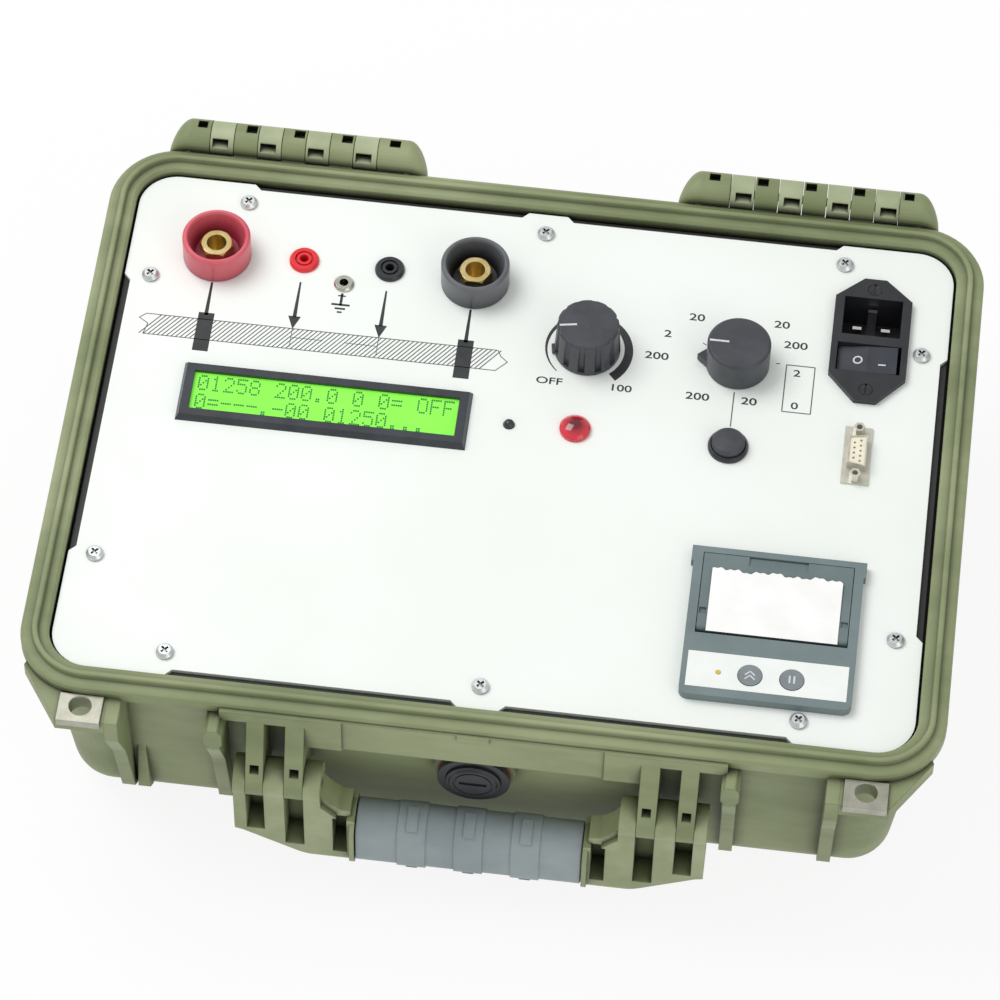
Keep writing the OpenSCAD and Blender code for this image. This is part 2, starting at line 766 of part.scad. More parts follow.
module front_panel() {
    color("#e9f3ec") difference() {
        slab(panel_x, panel_y, panel_r, panel_under, panel_t);
        for (a = [0, 180]) rotate([0, 0, a]) {
            both_sides() edge_notch(tab_mid, tab_x, panel_y);
            rotate([0, 0, 90]) edge_notch(-tab_side, tab_side, panel_x);
        }
        for (p = screw_places) panel_hole(p, screw_r + fit);
        for (p = [red_cup, black_cup]) panel_hole(p, cup_neck_r + fit);
        for (p = [red_sense, black_sense]) panel_hole(p, sense_neck_r + fit);
        panel_hole(earth, earth_neck_r + fit);
        panel_hole(led, led_r + fit);
        panel_hole(lamp, lamp_neck_r + fit);
        for (p = [current, range]) panel_hole(p, bush_r + fit);
        panel_hole(start, start_neck_r + fit);
        panel_slot(lcd, glass_w, glass_d);
        panel_slot([inlet[0], inlet[1] + (inlet_body_back - inlet_body_front) / 2], inlet_body_w + 2 * fit,
            inlet_body_l + 2 * fit);
        for (s = [-1, 1]) panel_hole([inlet[0], inlet[1] + s * inlet_screw_y], inlet_screw_r + fit);
        panel_slot(serial, serial_body_w + 2 * fit, serial_body_l + 2 * fit);
        for (s = [-1, 1]) panel_hole([serial[0], serial[1] + s * jack_pitch / 2], jack_r + fit);
        panel_slot(printer, tub_w + 2 * fit, tub_d + 2 * fit);
    }
}

module panel_screws() {
    head_h = 2.6;
    cross = 1;
    color("#bfc3c4") for (p = screw_places) translate([p[0], p[1], panel_z]) difference() {
        union() {
            cylinder(r = screw_head_r, h = head_h / 2, $fn = smooth);
            translate([0, 0, head_h / 2])
                cylinder(r1 = screw_head_r, r2 = screw_head_r - head_h / 2, h = head_h / 2, $fn = smooth);
            translate([0, 0, -panel_t - frame_t])
                cylinder(r = screw_r, h = panel_t + frame_t + over, $fn = smooth);
        }
        for (a = [45, 135]) rotate([0, 0, a])
            translate([-screw_head_r / 2, -cross / 2, head_h / 2]) cube([screw_head_r, cross, head_h]);
    }
}

// Puts what follows on the panel's face at a place
module on_panel(at) {
    translate([at[0], at[1], panel_z]) children();
}

// Round piece turned from a list of radius and height points
module turned(points) {
    rotate_extrude($fn = smooth) polygon(points);
}

contact_neck_r = 6;
cup_floor = 2.5;
cup_neck = 16;
stud_l = 34;
cup_nut_lip = 5;
nut_lip = 2.5;
nut_t = 6;

module terminal_cup() {
    lip = 1;
    difference() {
        turned([[0, -panel_t - cup_neck], [cup_neck_r, -panel_t - cup_neck], [cup_neck_r, 0],
            [cup_r - lip / 2, 0], [cup_r, lip / 2], [cup_r, cup_h - lip], [cup_r - lip, cup_h],
            [cup_r - 2 * lip, cup_h], [cup_r - 2.6 * lip, cup_h - lip], [cup_r - 4 * lip, cup_h / 2],
            [cup_r - 5.5 * lip, cup_floor], [0, cup_floor]]);
        translate([0, 0, -panel_t - cup_neck - over])
            cylinder(r = contact_neck_r + fit, h = cup_neck + cup_h, $fn = smooth);
    }
}

module terminal_contact() {
    hex_drop = 5;
    hex_top = cup_h - hex_drop;
    difference() {
        union() {
            translate([0, 0, cup_floor]) intersection() {
                cylinder(r = contact_af / sqrt(3), h = hex_top - cup_floor, $fn = 6);
                cylinder(r1 = contact_af, r2 = contact_af / 2, h = hex_top - cup_floor, $fn = smooth);
            }
            translate([0, 0, -stud_l]) cylinder(r = contact_neck_r, h = stud_l + cup_floor + over,
                $fn = smooth);
        }
        translate([0, 0, -cup_h / 2]) cylinder(r = contact_bore_r, h = 2 * cup_h, $fn = smooth);
    }
}

module red_terminal_cup() {
    color("#c8424f") on_panel(red_cup) terminal_cup();
}

module black_terminal_cup() {
    color("#2e3034") on_panel(black_cup) terminal_cup();
}

module red_contact() {
    color("#c9a24a") on_panel(red_cup) terminal_contact();
}

module black_contact() {
    color("#c9a24a") on_panel(black_cup) terminal_contact();
}

module terminal_nuts() {
    color("#9aa0a2") for (p = [red_cup, black_cup]) on_panel(p) difference() {
        translate([0, 0, -panel_t - nut_t]) cylinder(r = cup_neck_r + cup_nut_lip, h = nut_t, $fn = 6);
        translate([0, 0, -panel_t - nut_t - over])
            cylinder(r = cup_neck_r + run, h = nut_t + 2 * over, $fn = smooth);
    }
}

sense_h = 2.2;
sense_l = 22;
plug_depth = 18;

module sense_socket() {
    groove = 0.8;
    difference() {
        turned([[0, -sense_l], [sense_neck_r, -sense_l], [sense_neck_r, 0], [sense_r, 0],
            [sense_r, sense_h / 2], [sense_r - sense_h / 3, sense_h], [0, sense_h]]);
        translate([0, 0, sense_h - plug_depth])
            cylinder(r = plug_bore_r, h = plug_depth + over, $fn = smooth);
        translate([0, 0, sense_h - 2 * groove]) difference() {
            cylinder(r = sense_r / 2 + groove, h = sense_h, $fn = smooth);
            cylinder(r = sense_r / 2, h = sense_h, $fn = smooth);
        }
    }
}

module red_sense_socket() {
    color("#e0262c") on_panel(red_sense) sense_socket();
}

module black_sense_socket() {
    color("#26272b") on_panel(black_sense) sense_socket();
}

earth_h = 1.6;
earth_l = 20;

module earth_socket() {
    color("#b9a66a") on_panel(earth) difference() {
        turned([[0, -earth_l], [earth_neck_r, -earth_l], [earth_neck_r, 0], [earth_r, 0],
            [earth_r, earth_h / 2], [earth_r - earth_h / 2, earth_h], [0, earth_h]]);
        translate([0, 0, earth_h - plug_depth])
            cylinder(r = plug_bore_r, h = plug_depth + over, $fn = smooth);
    }
}

module socket_nut(at, r) {
    on_panel(at) translate([0, 0, -panel_t - nut_t / 2]) difference() {
        cylinder(r = r + nut_lip, h = nut_t / 2, $fn = 6);
        translate([0, 0, -over]) cylinder(r = r + run, h = nut_t, $fn = smooth);
    }
}

module socket_nuts() {
    color("#9aa0a2") {
        socket_nut(red_sense, sense_neck_r);
        socket_nut(black_sense, sense_neck_r);
        socket_nut(earth, earth_neck_r);
    }
}

// A plate of given size whose four sides lean in by the same amount
module bevelled_plate(w, d, h, lean) {
    intersection() {
        translate([0, d / 2, 0]) rotate([90, 0, 0]) linear_extrude(height = d)
            polygon([[-w / 2, 0], [w / 2, 0], [w / 2 - lean, h], [lean - w / 2, h]]);
        translate([-w / 2, 0, 0]) rotate([90, 0, 90]) linear_extrude(height = w)
            polygon([[-d / 2, 0], [d / 2, 0], [d / 2 - lean, h], [lean - d / 2, h]]);
    }
}

glass_t = 1.2;

module lcd_bezel() {
    color("#232427") on_panel(lcd) difference() {
        bevelled_plate(lcd_w, lcd_d, lcd_h, lcd_h / 2);
        translate([-lcd_view_w / 2, -lcd_view_d / 2, -over])
            cube([lcd_view_w, lcd_view_d, lcd_h + 2 * over]);
        translate([-glass_w / 2, -glass_d / 2, -over]) cube([glass_w, glass_d, glass_t + over]);
    }
}

module lcd_window() {
    color("#84f04a") on_panel(lcd)
        translate([-glass_w / 2 + run, -glass_d / 2 + run, 0])
            cube([glass_w - 2 * run, glass_d - 2 * run, glass_t]);
}

module lcd_module() {
    module_w = 146;
    module_d = 43;
    deep = 10;
    post_r = 3;
    color("#2f6b46") on_panel(lcd) {
        translate([-module_w / 2, -module_d / 2, -deep - board_t]) cube([module_w, module_d, board_t]);
        translate([-lcd_view_w / 2, -lcd_view_d / 2, -deep]) cube([lcd_view_w, lcd_view_d, deep]);
        for (sx = [-1, 1], sy = [-1, 1])
            translate([sx * (module_w / 2 - post_r), sy * (module_d / 2 - post_r), -deep])
                cylinder(r = post_r - over / 2, h = deep - panel_t, $fn = smooth);
    }
}

module status_led() {
    led_h = 2.6;
    color("#30393a") on_panel(led) {
        translate([0, 0, led_h - led_r]) sphere(r = led_r, $fn = smooth);
        translate([0, 0, -panel_t - led_h])
            cylinder(r = led_r, h = panel_t + 2 * led_h - led_r, $fn = smooth);
        translate([0, 0, -panel_t - led_h]) cylinder(r = led_r + over, h = led_h, $fn = smooth);
    }
}

lamp_rim = 1.6;

module lamp_lens() {
    dome = 3.2;
    ball = (lamp_r * lamp_r + dome * dome) / (2 * dome);
    color("#c0222f") on_panel(lamp) {
        cylinder(r = lamp_r, h = lamp_rim, $fn = smooth);
        intersection() {
            translate([0, 0, lamp_rim + dome - ball]) sphere(r = ball, $fn = smooth);
            cylinder(r = lamp_r - run, h = lamp_rim + 2 * dome, $fn = smooth);
        }
    }
}

module lamp_body() {
    lamp_l = 22;
    color("#3a3c40") on_panel(lamp) {
        translate([0, 0, -lamp_l]) cylinder(r = lamp_neck_r, h = lamp_l, $fn = smooth);
        translate([0, 0, -panel_t - nut_t / 2]) cylinder(r = lamp_neck_r + nut_lip, h = nut_t / 2, $fn = 6);
    }
}

knob_gap = 0.5;
bush_top = 4;
bush_nut_r = 7;
knob_well_r = 9;
shaft_in_knob = 11;
control_deep = 12;
current_body_r = 14;
range_body_r = 17;

// A panel control: threaded bush through the panel, nut on top and the body below
module control_body(r, h) {
    difference() {
        union() {
            translate([0, 0, -panel_t - h]) cylinder(r = r, h = h, $fn = smooth);
            translate([0, 0, -panel_t]) cylinder(r = bush_r, h = panel_t + bush_top, $fn = smooth);
            cylinder(r = bush_nut_r, h = bush_top / 2, $fn = 6);
        }
        translate([0, 0, -panel_t - h / 2]) cylinder(r = shaft_r + run, h = 2 * h, $fn = smooth);
    }
}

module control_shaft(h) {
    translate([0, 0, -panel_t - h / 2]) cylinder(r = shaft_r, h = h / 2 + panel_t + shaft_in_knob,
        $fn = smooth);
}

// The hollow under a knob and the hole for its shaft
module knob_well() {
    translate([0, 0, -over]) cylinder(r = knob_well_r, h = bush_top + over + knob_gap, $fn = smooth);
    cylinder(r = shaft_r + run, h = shaft_in_knob, $fn = smooth);
}

current_rest = 190;
flutes = 12;

module current_knob() {
    flute_r = 1.6;
    color("#2d2e35") on_panel(current) rotate([0, 0, current_rest]) difference() {
        union() {
            translate([0, 0, knob_gap]) cylinder(r1 = current_r + over, r2 = current_r,
                h = current_h - over - knob_gap, $fn = smooth);
            translate([0, 0, current_h - over])
                cylinder(r1 = current_r, r2 = current_r - over, h = over, $fn = smooth);
            translate([current_r, 0, knob_gap]) rotate([0, 0, 45])
                cylinder(r = 3 * over, h = 2 * over, $fn = 4);
        }
        for (k = [0:flutes - 1]) rotate([0, 0, 360 * (k + 0.5) / flutes])
            translate([current_r + flute_r / 2, 0, 2 * over])
                cylinder(r = flute_r, h = current_h, $fn = smooth);
        knob_well();
        translate([current_r * 0.4, -over / 2, current_h - over / 2]) cube([current_r, over, over]);
    }
}

module current_shaft() {
    color("#b5b7b6") on_panel(current) control_shaft(control_deep);
}

module current_control() {
    color("#5a4a3a") on_panel(current) control_body(current_body_r, control_deep);
}

range_rest = 180;

module range_knob() {
    nose = 4;
    color("#2d2e35") on_panel(range) rotate([0, 0, range_rest]) difference() {
        union() {
            translate([0, 0, knob_gap]) cylinder(r = range_r, h = range_h - over - knob_gap, $fn = smooth);
            translate([0, 0, range_h - over])
                cylinder(r1 = range_r, r2 = range_r - over, h = over, $fn = smooth);
            translate([0, 0, knob_gap]) linear_extrude(height = range_h / 4)
                polygon([[0, -range_r / 3], [range_r * 0.9, -range_r / 3], [range_r + nose, 0],
                    [range_r * 0.9, range_r / 3], [0, range_r / 3]]);
        }
        knob_well();
        translate([range_r * 0.35, -over / 2, range_h - over / 2]) cube([range_r, over, over]);
    }
}

module range_shaft() {
    color("#b5b7b6") on_panel(range) control_shaft(control_deep);
}

module range_switch() {
    color("#6a5a34") on_panel(range) control_body(range_body_r, control_deep + nut_t);
}

start_collar = 2.6;
start_wall = 1.3;
start_deep = 20;
button_h = 5.4;

module start_switch() {
    color("#26272b") on_panel(start) difference() {
        union() {
            turned([[0, 0], [start_r, 0], [start_r, start_collar / 2], [start_r - start_collar / 3,
                start_collar],
                [0, start_collar]]);
            translate([0, 0, -start_deep]) cylinder(r = start_neck_r, h = start_deep + over, $fn = smooth);
            translate([0, 0, -panel_t - nut_t / 2])
                cylinder(r = start_neck_r + nut_lip, h = nut_t / 2, $fn = 6);
        }
        translate([0, 0, -start_travel - over])
            cylinder(r = start_r - start_wall, h = start_travel + over + 2 * start_collar, $fn = smooth);
    }
}

module start_button() {
    cap_r = start_r - start_wall - gap;
    color("#1f2023") on_panel(start)
        turned([[0, -gap / 2], [cap_r, -gap / 2], [cap_r, button_h - over], [cap_r - over, button_h], [0,
            button_h + over / 2]]);
}

inlet_flange_t = 3;
inlet_deep = 36;
recess_w = 26.5;
recess_d = 21;
recess_y = 12.5;
recess_deep = 18;
rocker_w = 29;
rocker_d = 15.5;
rocker_y = -10.6;
rocker_pivot_z = -3;
rocker_deep = 12;
rocker_pin_r = 1.5;
rocker_pin_l = 1.5;
inlet_screw_r = 1.5;
inlet_screw_y = inlet_l / 2 - inlet_screw_in;
blade_w = 4;
blade_t = 1.6;
blade_l = 14;
blade_pitch = 13;
blade_row = -1.8;
earth_row = 8.5;

module inlet_housing() {
    point = 5;
    color("#27272c") on_panel(inlet) difference() {
        union() {
            linear_extrude(height = inlet_flange_t)
                polygon([[-inlet_w / 2, -inlet_side / 2], [-point, -inlet_l / 2], [point, -inlet_l / 2],
                    [inlet_w / 2, -inlet_side / 2], [inlet_w / 2, inlet_side / 2 + inlet_shoulder],
                    [point, inlet_l / 2], [-point, inlet_l / 2],
                    [-inlet_w / 2, inlet_side / 2 + inlet_shoulder]]);
            translate([-inlet_body_w / 2, -inlet_body_front, -inlet_deep])
                cube([inlet_body_w, inlet_body_l, inlet_deep + over]);
        }
        translate([-recess_w / 2, recess_y - recess_d / 2, -recess_deep])
            cube([recess_w, recess_d, recess_deep + 2 * inlet_flange_t]);
        translate([-rocker_w / 2, rocker_y - rocker_d / 2, -rocker_deep])
            cube([rocker_w, rocker_d, rocker_deep + 2 * inlet_flange_t]);
        translate([0, rocker_y + rocker_d / 2 + rocker_pin_l, rocker_pivot_z]) rotate([90, 0, 0])
            cylinder(r = rocker_pin_r + run, h = rocker_d + 2 * rocker_pin_l, $fn = smooth);
        for (s = [-1, 1]) translate([0, s * inlet_screw_y, -over]) {
            cylinder(r = inlet_screw_r + fit, h = 2 * inlet_flange_t, $fn = smooth);
            translate([0, 0, over + inlet_flange_t / 2])
                cylinder(r = 2 * inlet_screw_r + fit, h = inlet_flange_t, $fn = smooth);
        }
    }
}

module inlet_pins() {
    color("#b9bbb8") on_panel(inlet)
        for (p = [[-blade_pitch / 2, blade_row], [blade_pitch / 2, blade_row], [0, earth_row]])
            translate([p[0] - blade_w / 2, recess_y + p[1] - blade_t / 2, -recess_deep])
                cube([blade_w, blade_t, blade_l]);
}

module inlet_screws() {
    color("#8b8e8f") for (s = [-1, 1]) on_panel([inlet[0], inlet[1] + s * inlet_screw_y]) {
        translate([0, 0, -panel_t]) cylinder(r = inlet_screw_r,
            h = panel_t + inlet_flange_t / 2 + over / 2, $fn = smooth);
        translate([0, 0, inlet_flange_t / 2]) difference() {
            cylinder(r = 2 * inlet_screw_r, h = inlet_flange_t / 2, $fn = smooth);
            translate([-over / 2, -2 * inlet_screw_r, inlet_flange_t / 4])
                cube([over, 4 * inlet_screw_r, inlet_flange_t]);
        }
    }
}

rocker_tilt = 7;

module power_rocker() {
    half_w = rocker_w / 2 - 3 * gap;
    half_d = rocker_d / 2 - gap;
    top = inlet_flange_t - rocker_pivot_z;
    color("#1d1e22") on_panel(inlet) translate([0, rocker_y + half_d, rocker_pivot_z])
        rotate([90, 0, 0]) rotate([0, 0, rocker_tilt]) {
            linear_extrude(height = 2 * half_d)
                polygon([[-half_w, top - half_w * tan(rocker_tilt)], [0, top - over],
                    [half_w, top - half_w * tan(rocker_tilt)], [half_w - over, -top / 3],
                    [over, -top], [-over, -top], [over - half_w, -top / 3]]);
            translate([0, 0, -rocker_pin_l])
                cylinder(r = rocker_pin_r, h = 2 * (half_d + rocker_pin_l), $fn = smooth);
        }
}

shell_h = 5.6;
shell_t = 0.6;
flange_t = 1;

// The D outline of the serial connector, long along Y, smaller on one side
module d_outline(w, l) {
    cut = 0.18;
    polygon([[-w / 2, -l / 2 + w * cut], [w / 2, -l / 2], [w / 2, l / 2], [-w / 2, l / 2 - w * cut]]);
}

d_w = 8.4;
d_l = 17;

module serial_shell() {
    color("#cfcdbf") on_panel(serial) difference() {
        union() {
            translate([-serial_w / 2, -serial_l / 2, 0]) cube([serial_w, serial_l, flange_t]);
            linear_extrude(height = shell_h) d_outline(d_w, d_l);
            translate([-serial_body_w / 2, -serial_body_l / 2, -panel_t - nut_t])
                cube([serial_body_w, serial_body_l, panel_t + nut_t + over / 2]);
        }
        translate([0, 0, -panel_t]) linear_extrude(height = 2 * shell_h)
            d_outline(d_w - 2 * shell_t, d_l - 2 * shell_t);
        for (s = [-1, 1]) translate([0, s * jack_pitch / 2, -over])
            cylinder(r = jack_r + fit, h = 2 * shell_h, $fn = smooth);
    }
}

module serial_insert() {
    pin_r = 0.6;
    pitch = 2.77;
    row = 1.42;
    color("#efe9d2") on_panel(serial) difference() {
        translate([0, 0, -panel_t]) linear_extrude(height = panel_t + shell_h - shell_t)
            d_outline(d_w - 2 * shell_t - run, d_l - 2 * shell_t - run);
        for (k = [0:4]) translate([row, (k - 2) * pitch, 0]) cylinder(r = pin_r, h = 2 * shell_h, $fn = 16);
        for (k = [0:3]) translate([-row, (k - 1.5) * pitch, 0])
            cylinder(r = pin_r, h = 2 * shell_h, $fn = 16);
    }
}

module serial_jackscrews() {
    color("#c4c2b6") for (s = [-1, 1]) on_panel([serial[0], serial[1] + s * jack_pitch / 2]) difference() {
        union() {
            translate([0, 0, flange_t]) cylinder(r = jack_hex_r, h = shell_h - flange_t, $fn = 6);
            translate([0, 0, -panel_t - nut_t])
                cylinder(r = jack_r, h = panel_t + nut_t + flange_t + over / 2, $fn = smooth);
        }
        translate([0, 0, over]) cylinder(r = jack_r - fit, h = shell_h, $fn = smooth);
    }
}

// Printer places, measured from its middle on the panel's face
tub_wall = 2.2;
tub_deep = 44;
deck_y = -6.6;
slot_w = 2;
head_t = 3.4;
door_w = 66;
door_front = deck_y + slot_w;
door_back = printer_d / 2 - head_t;
door_t = 3;
hinge_in = 2.4;
roll_y = door_front + roll_r + slot_w;
roll_z = -2 * door_t - roll_r;
paper_over = 0.8;
paper_end = 7.5;
key_plate_w = 70;
key_plate_d = 18;
key_plate_y = -25.2;
key_plate_t = 0.8;
deck_z = printer_h - key_plate_t;
feed_x = -7.4;
pause_x = 10.8;
key_row = -26;
key_travel = 0.6;
printer_led_x = -21.2;
printer_led_r = 1.1;

module printer_bezel() {
    bez_r = 4;
    side = printer_d / 2;
    color("#5f6d77") on_panel(printer) difference() {
        union() {
            slab(printer_w / 2, side, bez_r, 0, printer_h);
            // The head is a little wider than the rest
            box([-printer_w / 2 - over, side - 2 * bez_r, 0], [printer_w / 2 + over, side, printer_h]);
            translate([-tub_w / 2, -tub_d / 2, -tub_deep]) cube([tub_w, tub_d, tub_deep + over]);
        }
        // Well for the door and the paper, with the mechanism's space under the deck
        translate([-door_w / 2 - gap, door_front - slot_w, -tub_deep + tub_wall])
            cube([door_w + 2 * gap, door_back - door_front + slot_w + gap, tub_deep + 2 * printer_h]);
        translate([-door_w / 2 - gap, -tub_d / 2 + tub_wall, -tub_deep + tub_wall])
            cube([door_w + 2 * gap, tub_d / 2 + door_front - tub_wall, tub_deep - tub_wall - wall]);
        // Recess for the key plate, and the two wells under the keys
        translate([-key_plate_w / 2 - run, key_plate_y - key_plate_d / 2 - run, deck_z])
            cube([key_plate_w + 2 * run, key_plate_d + 2 * run, printer_h]);
        for (x = [feed_x, pause_x]) translate([x, key_row, deck_z - key_travel - gap])
            cylinder(r = key_r + gap, h = printer_h, $fn = smooth);
        translate([printer_led_x, key_row, deck_z - over])
            cylinder(r = printer_led_r + 2 * run, h = printer_h, $fn = smooth);
    }
}

module printer_door() {
    grip_w2 = 26;
    pin = 1.5;
    color("#66747e") on_panel(printer) difference() {
        union() {
            box([-door_w / 2, door_front + hinge_in, printer_h - door_t], [door_w / 2, door_back,
                printer_h]);
            translate([-door_w / 2, door_front + hinge_in, printer_h - hinge_in]) rotate([0, 90, 0])
                cylinder(r = hinge_in, h = door_w, $fn = smooth);
        }
        // The finger hollow at the head of the door
        translate([0, door_back, printer_h + grip_w2 / 2]) rotate([0, 90, 0])
            cylinder(r = grip_w2 / 2 + over, h = grip_w2, center = true, $fn = smooth);
        for (s = [-1, 1])
            translate([s * (door_w / 2 - pin - 0.5 * over), door_front + 4 * hinge_in, printer_h])
                cube([2 * pin, 2 * pin, 2 * over], center = true);
    }
}

module paper_strip() {
    paper_t = 0.2;
    color("#fbfbf8") on_panel(printer)
        box([-paper_w / 2, door_front - paper_over, printer_h],
            [paper_w / 2, door_back - paper_end, printer_h + paper_t]);
}

module paper_roll() {
    axle_r = 2.5;
    color("#f4f4ef") on_panel(printer) {
        bar_x(-paper_w / 2, paper_w / 2, roll_y, roll_z, roll_r);
        bar_x(-door_w / 2, door_w / 2, roll_y, roll_z, axle_r);
    }
}

module printer_mechanism() {
    head_w = 60;
    head_l = 20;
    head_h = 26;
    platen_r = 4;
    low = -tub_deep + tub_wall;
    color("#3b3e42") on_panel(printer) {
        box([-head_w / 2, -tub_d / 2 + tub_wall, low], [head_w / 2, -tub_d / 2 + tub_wall + head_l,
            low + head_h]);
        bar_x(-head_w / 2, head_w / 2, -tub_d / 2 + tub_wall + head_l - platen_r / 2, low + head_h,
            platen_r);
    }
}

module printer_key_plate() {
    color("#f4f7f4") on_panel(printer) difference() {
        translate([-key_plate_w / 2, key_plate_y - key_plate_d / 2, deck_z])
            cube([key_plate_w, key_plate_d, key_plate_t]);
        for (x = [feed_x, pause_x]) translate([x, key_row, deck_z - over])
            cylinder(r = key_r + gap, h = 3 * over, $fn = smooth);
        translate([printer_led_x, key_row, deck_z - over])
            cylinder(r = printer_led_r + 2 * run, h = 3 * over, $fn = smooth);
    }
}

module printer_key(x) {
    on_panel(printer) translate([x, key_row, deck_z])
        cylinder(r = key_r, h = key_plate_t + gap, $fn = smooth);
}

module feed_button() {
    color("#7d8488") printer_key(feed_x);
}

module pause_button() {
    color("#7d8488") printer_key(pause_x);
}

module printer_led() {
    color("#d8c94a") on_panel(printer) translate([printer_led_x, key_row, deck_z - over])
        cylinder(r = printer_led_r, h = key_plate_t + over + fit, $fn = smooth);
}

// Inner pieces
toroid = [-84, -24];
toroid_r = 56;
toroid_hole = 16;
toroid_h = 52;
pad_t = 2;

module transformer_winding() {
    bulge = 6;
    color("#8a5a34") translate([toroid[0], toroid[1], floor_z])
        turned([[toroid_hole, bulge / 2], [toroid_hole + bulge, 0], [toroid_r - bulge, 0], [toroid_r,
            bulge],
            [toroid_r, toroid_h - bulge], [toroid_r - bulge, toroid_h], [toroid_hole + bulge, toroid_h],
            [toroid_hole, toroid_h - bulge / 2]]);
}

module transformer_clamp() {
    bolt_r = 4;
    color("#9aa0a2") translate([toroid[0], toroid[1], floor_z]) {
        cylinder(r = bolt_r, h = toroid_h + pad_t + nut_t, $fn = smooth);
        translate([0, 0, toroid_h]) cylinder(r = toroid_r / 2, h = pad_t, $fn = smooth);
        translate([0, 0, toroid_h + pad_t]) cylinder(r = 2 * bolt_r, h = nut_t, $fn = 6);
    }
}

sink = [78, 70];
sink_w = 96;
sink_d = 78;
sink_h = 34;
sink_plate = 8;

module heat_sink() {
    fins = 12;
    fin_t = 2.4;
    color("#a9adb0") translate([sink[0], sink[1], floor_z]) {
        translate([-sink_w / 2, -sink_d / 2, sink_h - sink_plate]) cube([sink_w, sink_d, sink_plate]);
        for (k = [0:fins - 1])
            translate([-sink_w / 2 + k * (sink_w - fin_t) / (fins - 1), -sink_d / 2, 0])
                cube([fin_t, sink_d, sink_h - sink_plate + over / 2]);
    }
}

module_l = 60;
module_w = 30;
module_h = 18;

module rectifier_module() {
    color("#3c3c3e") translate([sink[0], black_cup[1], floor_z + sink_h])
        translate([-module_l / 2, -module_w / 2, 0]) cube([module_l, module_w, module_h]);
}

bar_w = 20;
bar_t = 4;

// The copper bars from the two current studs, one to the rectifier and one to the shunt on the floor
module current_busbars() {
    stud_z = panel_z - stud_l;
    top = floor_z + sink_h + module_h;
    color("#b8683a") {
        box([black_cup[0] - bar_w / 2, black_cup[1] - bar_w / 2, stud_z - bar_t],
            [sink[0], black_cup[1] + bar_w / 2, stud_z]);
        box([sink[0] - bar_w, black_cup[1] - bar_w / 2, top], [sink[0], black_cup[1] + bar_w / 2, stud_z]);
        box([red_cup[0] - bar_w / 2, red_cup[1] - bar_w / 2, floor_z],
            [red_cup[0] + bar_w / 2, red_cup[1] + bar_w / 2, floor_z + bar_w]);
        box([red_cup[0] - bar_w / 2, red_cup[1] - bar_t / 2, floor_z + bar_w - over],
            [red_cup[0] + bar_w / 2, red_cup[1] + bar_t / 2, stud_z]);
    }
}

module main_board() {
    z = floor_z + board_boss_h;
    chip_h = 3;
    can_r = 6;
    can_h = 16;
    color("#2f6b46") {
        translate([board_x - board_w / 2, board_y - board_d / 2, z]) cube([board_w, board_d, board_t]);
        for (k = [0:3]) translate([board_x - board_w / 3 + k * 8 * chip_h, board_y - board_d / 4,
            z + board_t / 2])
            cube([4 * chip_h, 6 * chip_h, chip_h + board_t / 2]);
        for (k = [0:2]) translate([board_x - board_w / 3 + k * 3 * can_r, board_y + board_d / 4,
            z + board_t / 2])
            cylinder(r = can_r, h = can_h, $fn = smooth);
    }
}

case_base();
hinge_pins();
lid_knuckles_left();
lid_knuckles_right();
padlock_blocks();
padlock_plates();
handle_frame();
handle_grip();
handle_pins();
purge_valve_body();
purge_valve_cap();
purge_valve_seal();
panel_frame();
front_panel();
panel_screws();
red_terminal_cup();
black_terminal_cup();
red_contact();
black_contact();
terminal_nuts();
red_sense_socket();
black_sense_socket();
earth_socket();
socket_nuts();
lcd_bezel();
lcd_window();
lcd_module();
status_led();
lamp_lens();
lamp_body();
current_knob();
current_shaft();
current_control();
range_knob();
range_shaft();
range_switch();
start_button();
start_switch();
inlet_housing();
inlet_pins();
inlet_screws();
power_rocker();
serial_shell();
serial_insert();
serial_jackscrews();
printer_bezel();
printer_door();
paper_strip();
paper_roll();
printer_mechanism();
printer_key_plate();
feed_button();
pause_button();
printer_led();
transformer_winding();
transformer_clamp();
heat_sink();
rectifier_module();
current_busbars();
main_board();
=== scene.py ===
# %% [markdown]
# # A micro ohmmeter in the base of a carrying case
# The solids come from the CAD model and stay as they are. This lesson gives each of them a finish.
# It adds the printing on the panel, the dots of the display, the torn paper, the round ends of the
# hinges and the webs behind the handle, and it sets up the camera, the light and the floor.

# %% Load the frame
import json
import math

import bmesh
import bpy
from mathutils import Matrix, Vector


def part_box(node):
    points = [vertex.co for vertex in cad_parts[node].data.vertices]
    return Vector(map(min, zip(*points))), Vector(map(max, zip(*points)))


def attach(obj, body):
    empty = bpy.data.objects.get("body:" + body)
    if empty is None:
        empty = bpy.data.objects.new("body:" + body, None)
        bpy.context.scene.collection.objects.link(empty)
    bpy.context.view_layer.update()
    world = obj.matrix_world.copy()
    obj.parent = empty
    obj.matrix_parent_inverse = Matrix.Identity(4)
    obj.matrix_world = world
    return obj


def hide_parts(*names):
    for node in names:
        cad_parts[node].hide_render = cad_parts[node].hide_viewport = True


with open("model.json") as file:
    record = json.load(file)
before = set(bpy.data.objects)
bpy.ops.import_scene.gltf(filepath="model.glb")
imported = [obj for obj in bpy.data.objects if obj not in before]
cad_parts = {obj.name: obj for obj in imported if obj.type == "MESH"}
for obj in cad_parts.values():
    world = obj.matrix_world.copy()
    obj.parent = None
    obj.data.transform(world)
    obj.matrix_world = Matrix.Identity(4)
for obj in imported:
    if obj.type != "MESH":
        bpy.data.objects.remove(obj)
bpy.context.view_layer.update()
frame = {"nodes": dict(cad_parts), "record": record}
nodes = frame["nodes"]
MM = 0.001
PANEL_TOP = 115.0  # the face of the panel above the floor, in millimetres
PANEL = PANEL_TOP * MM

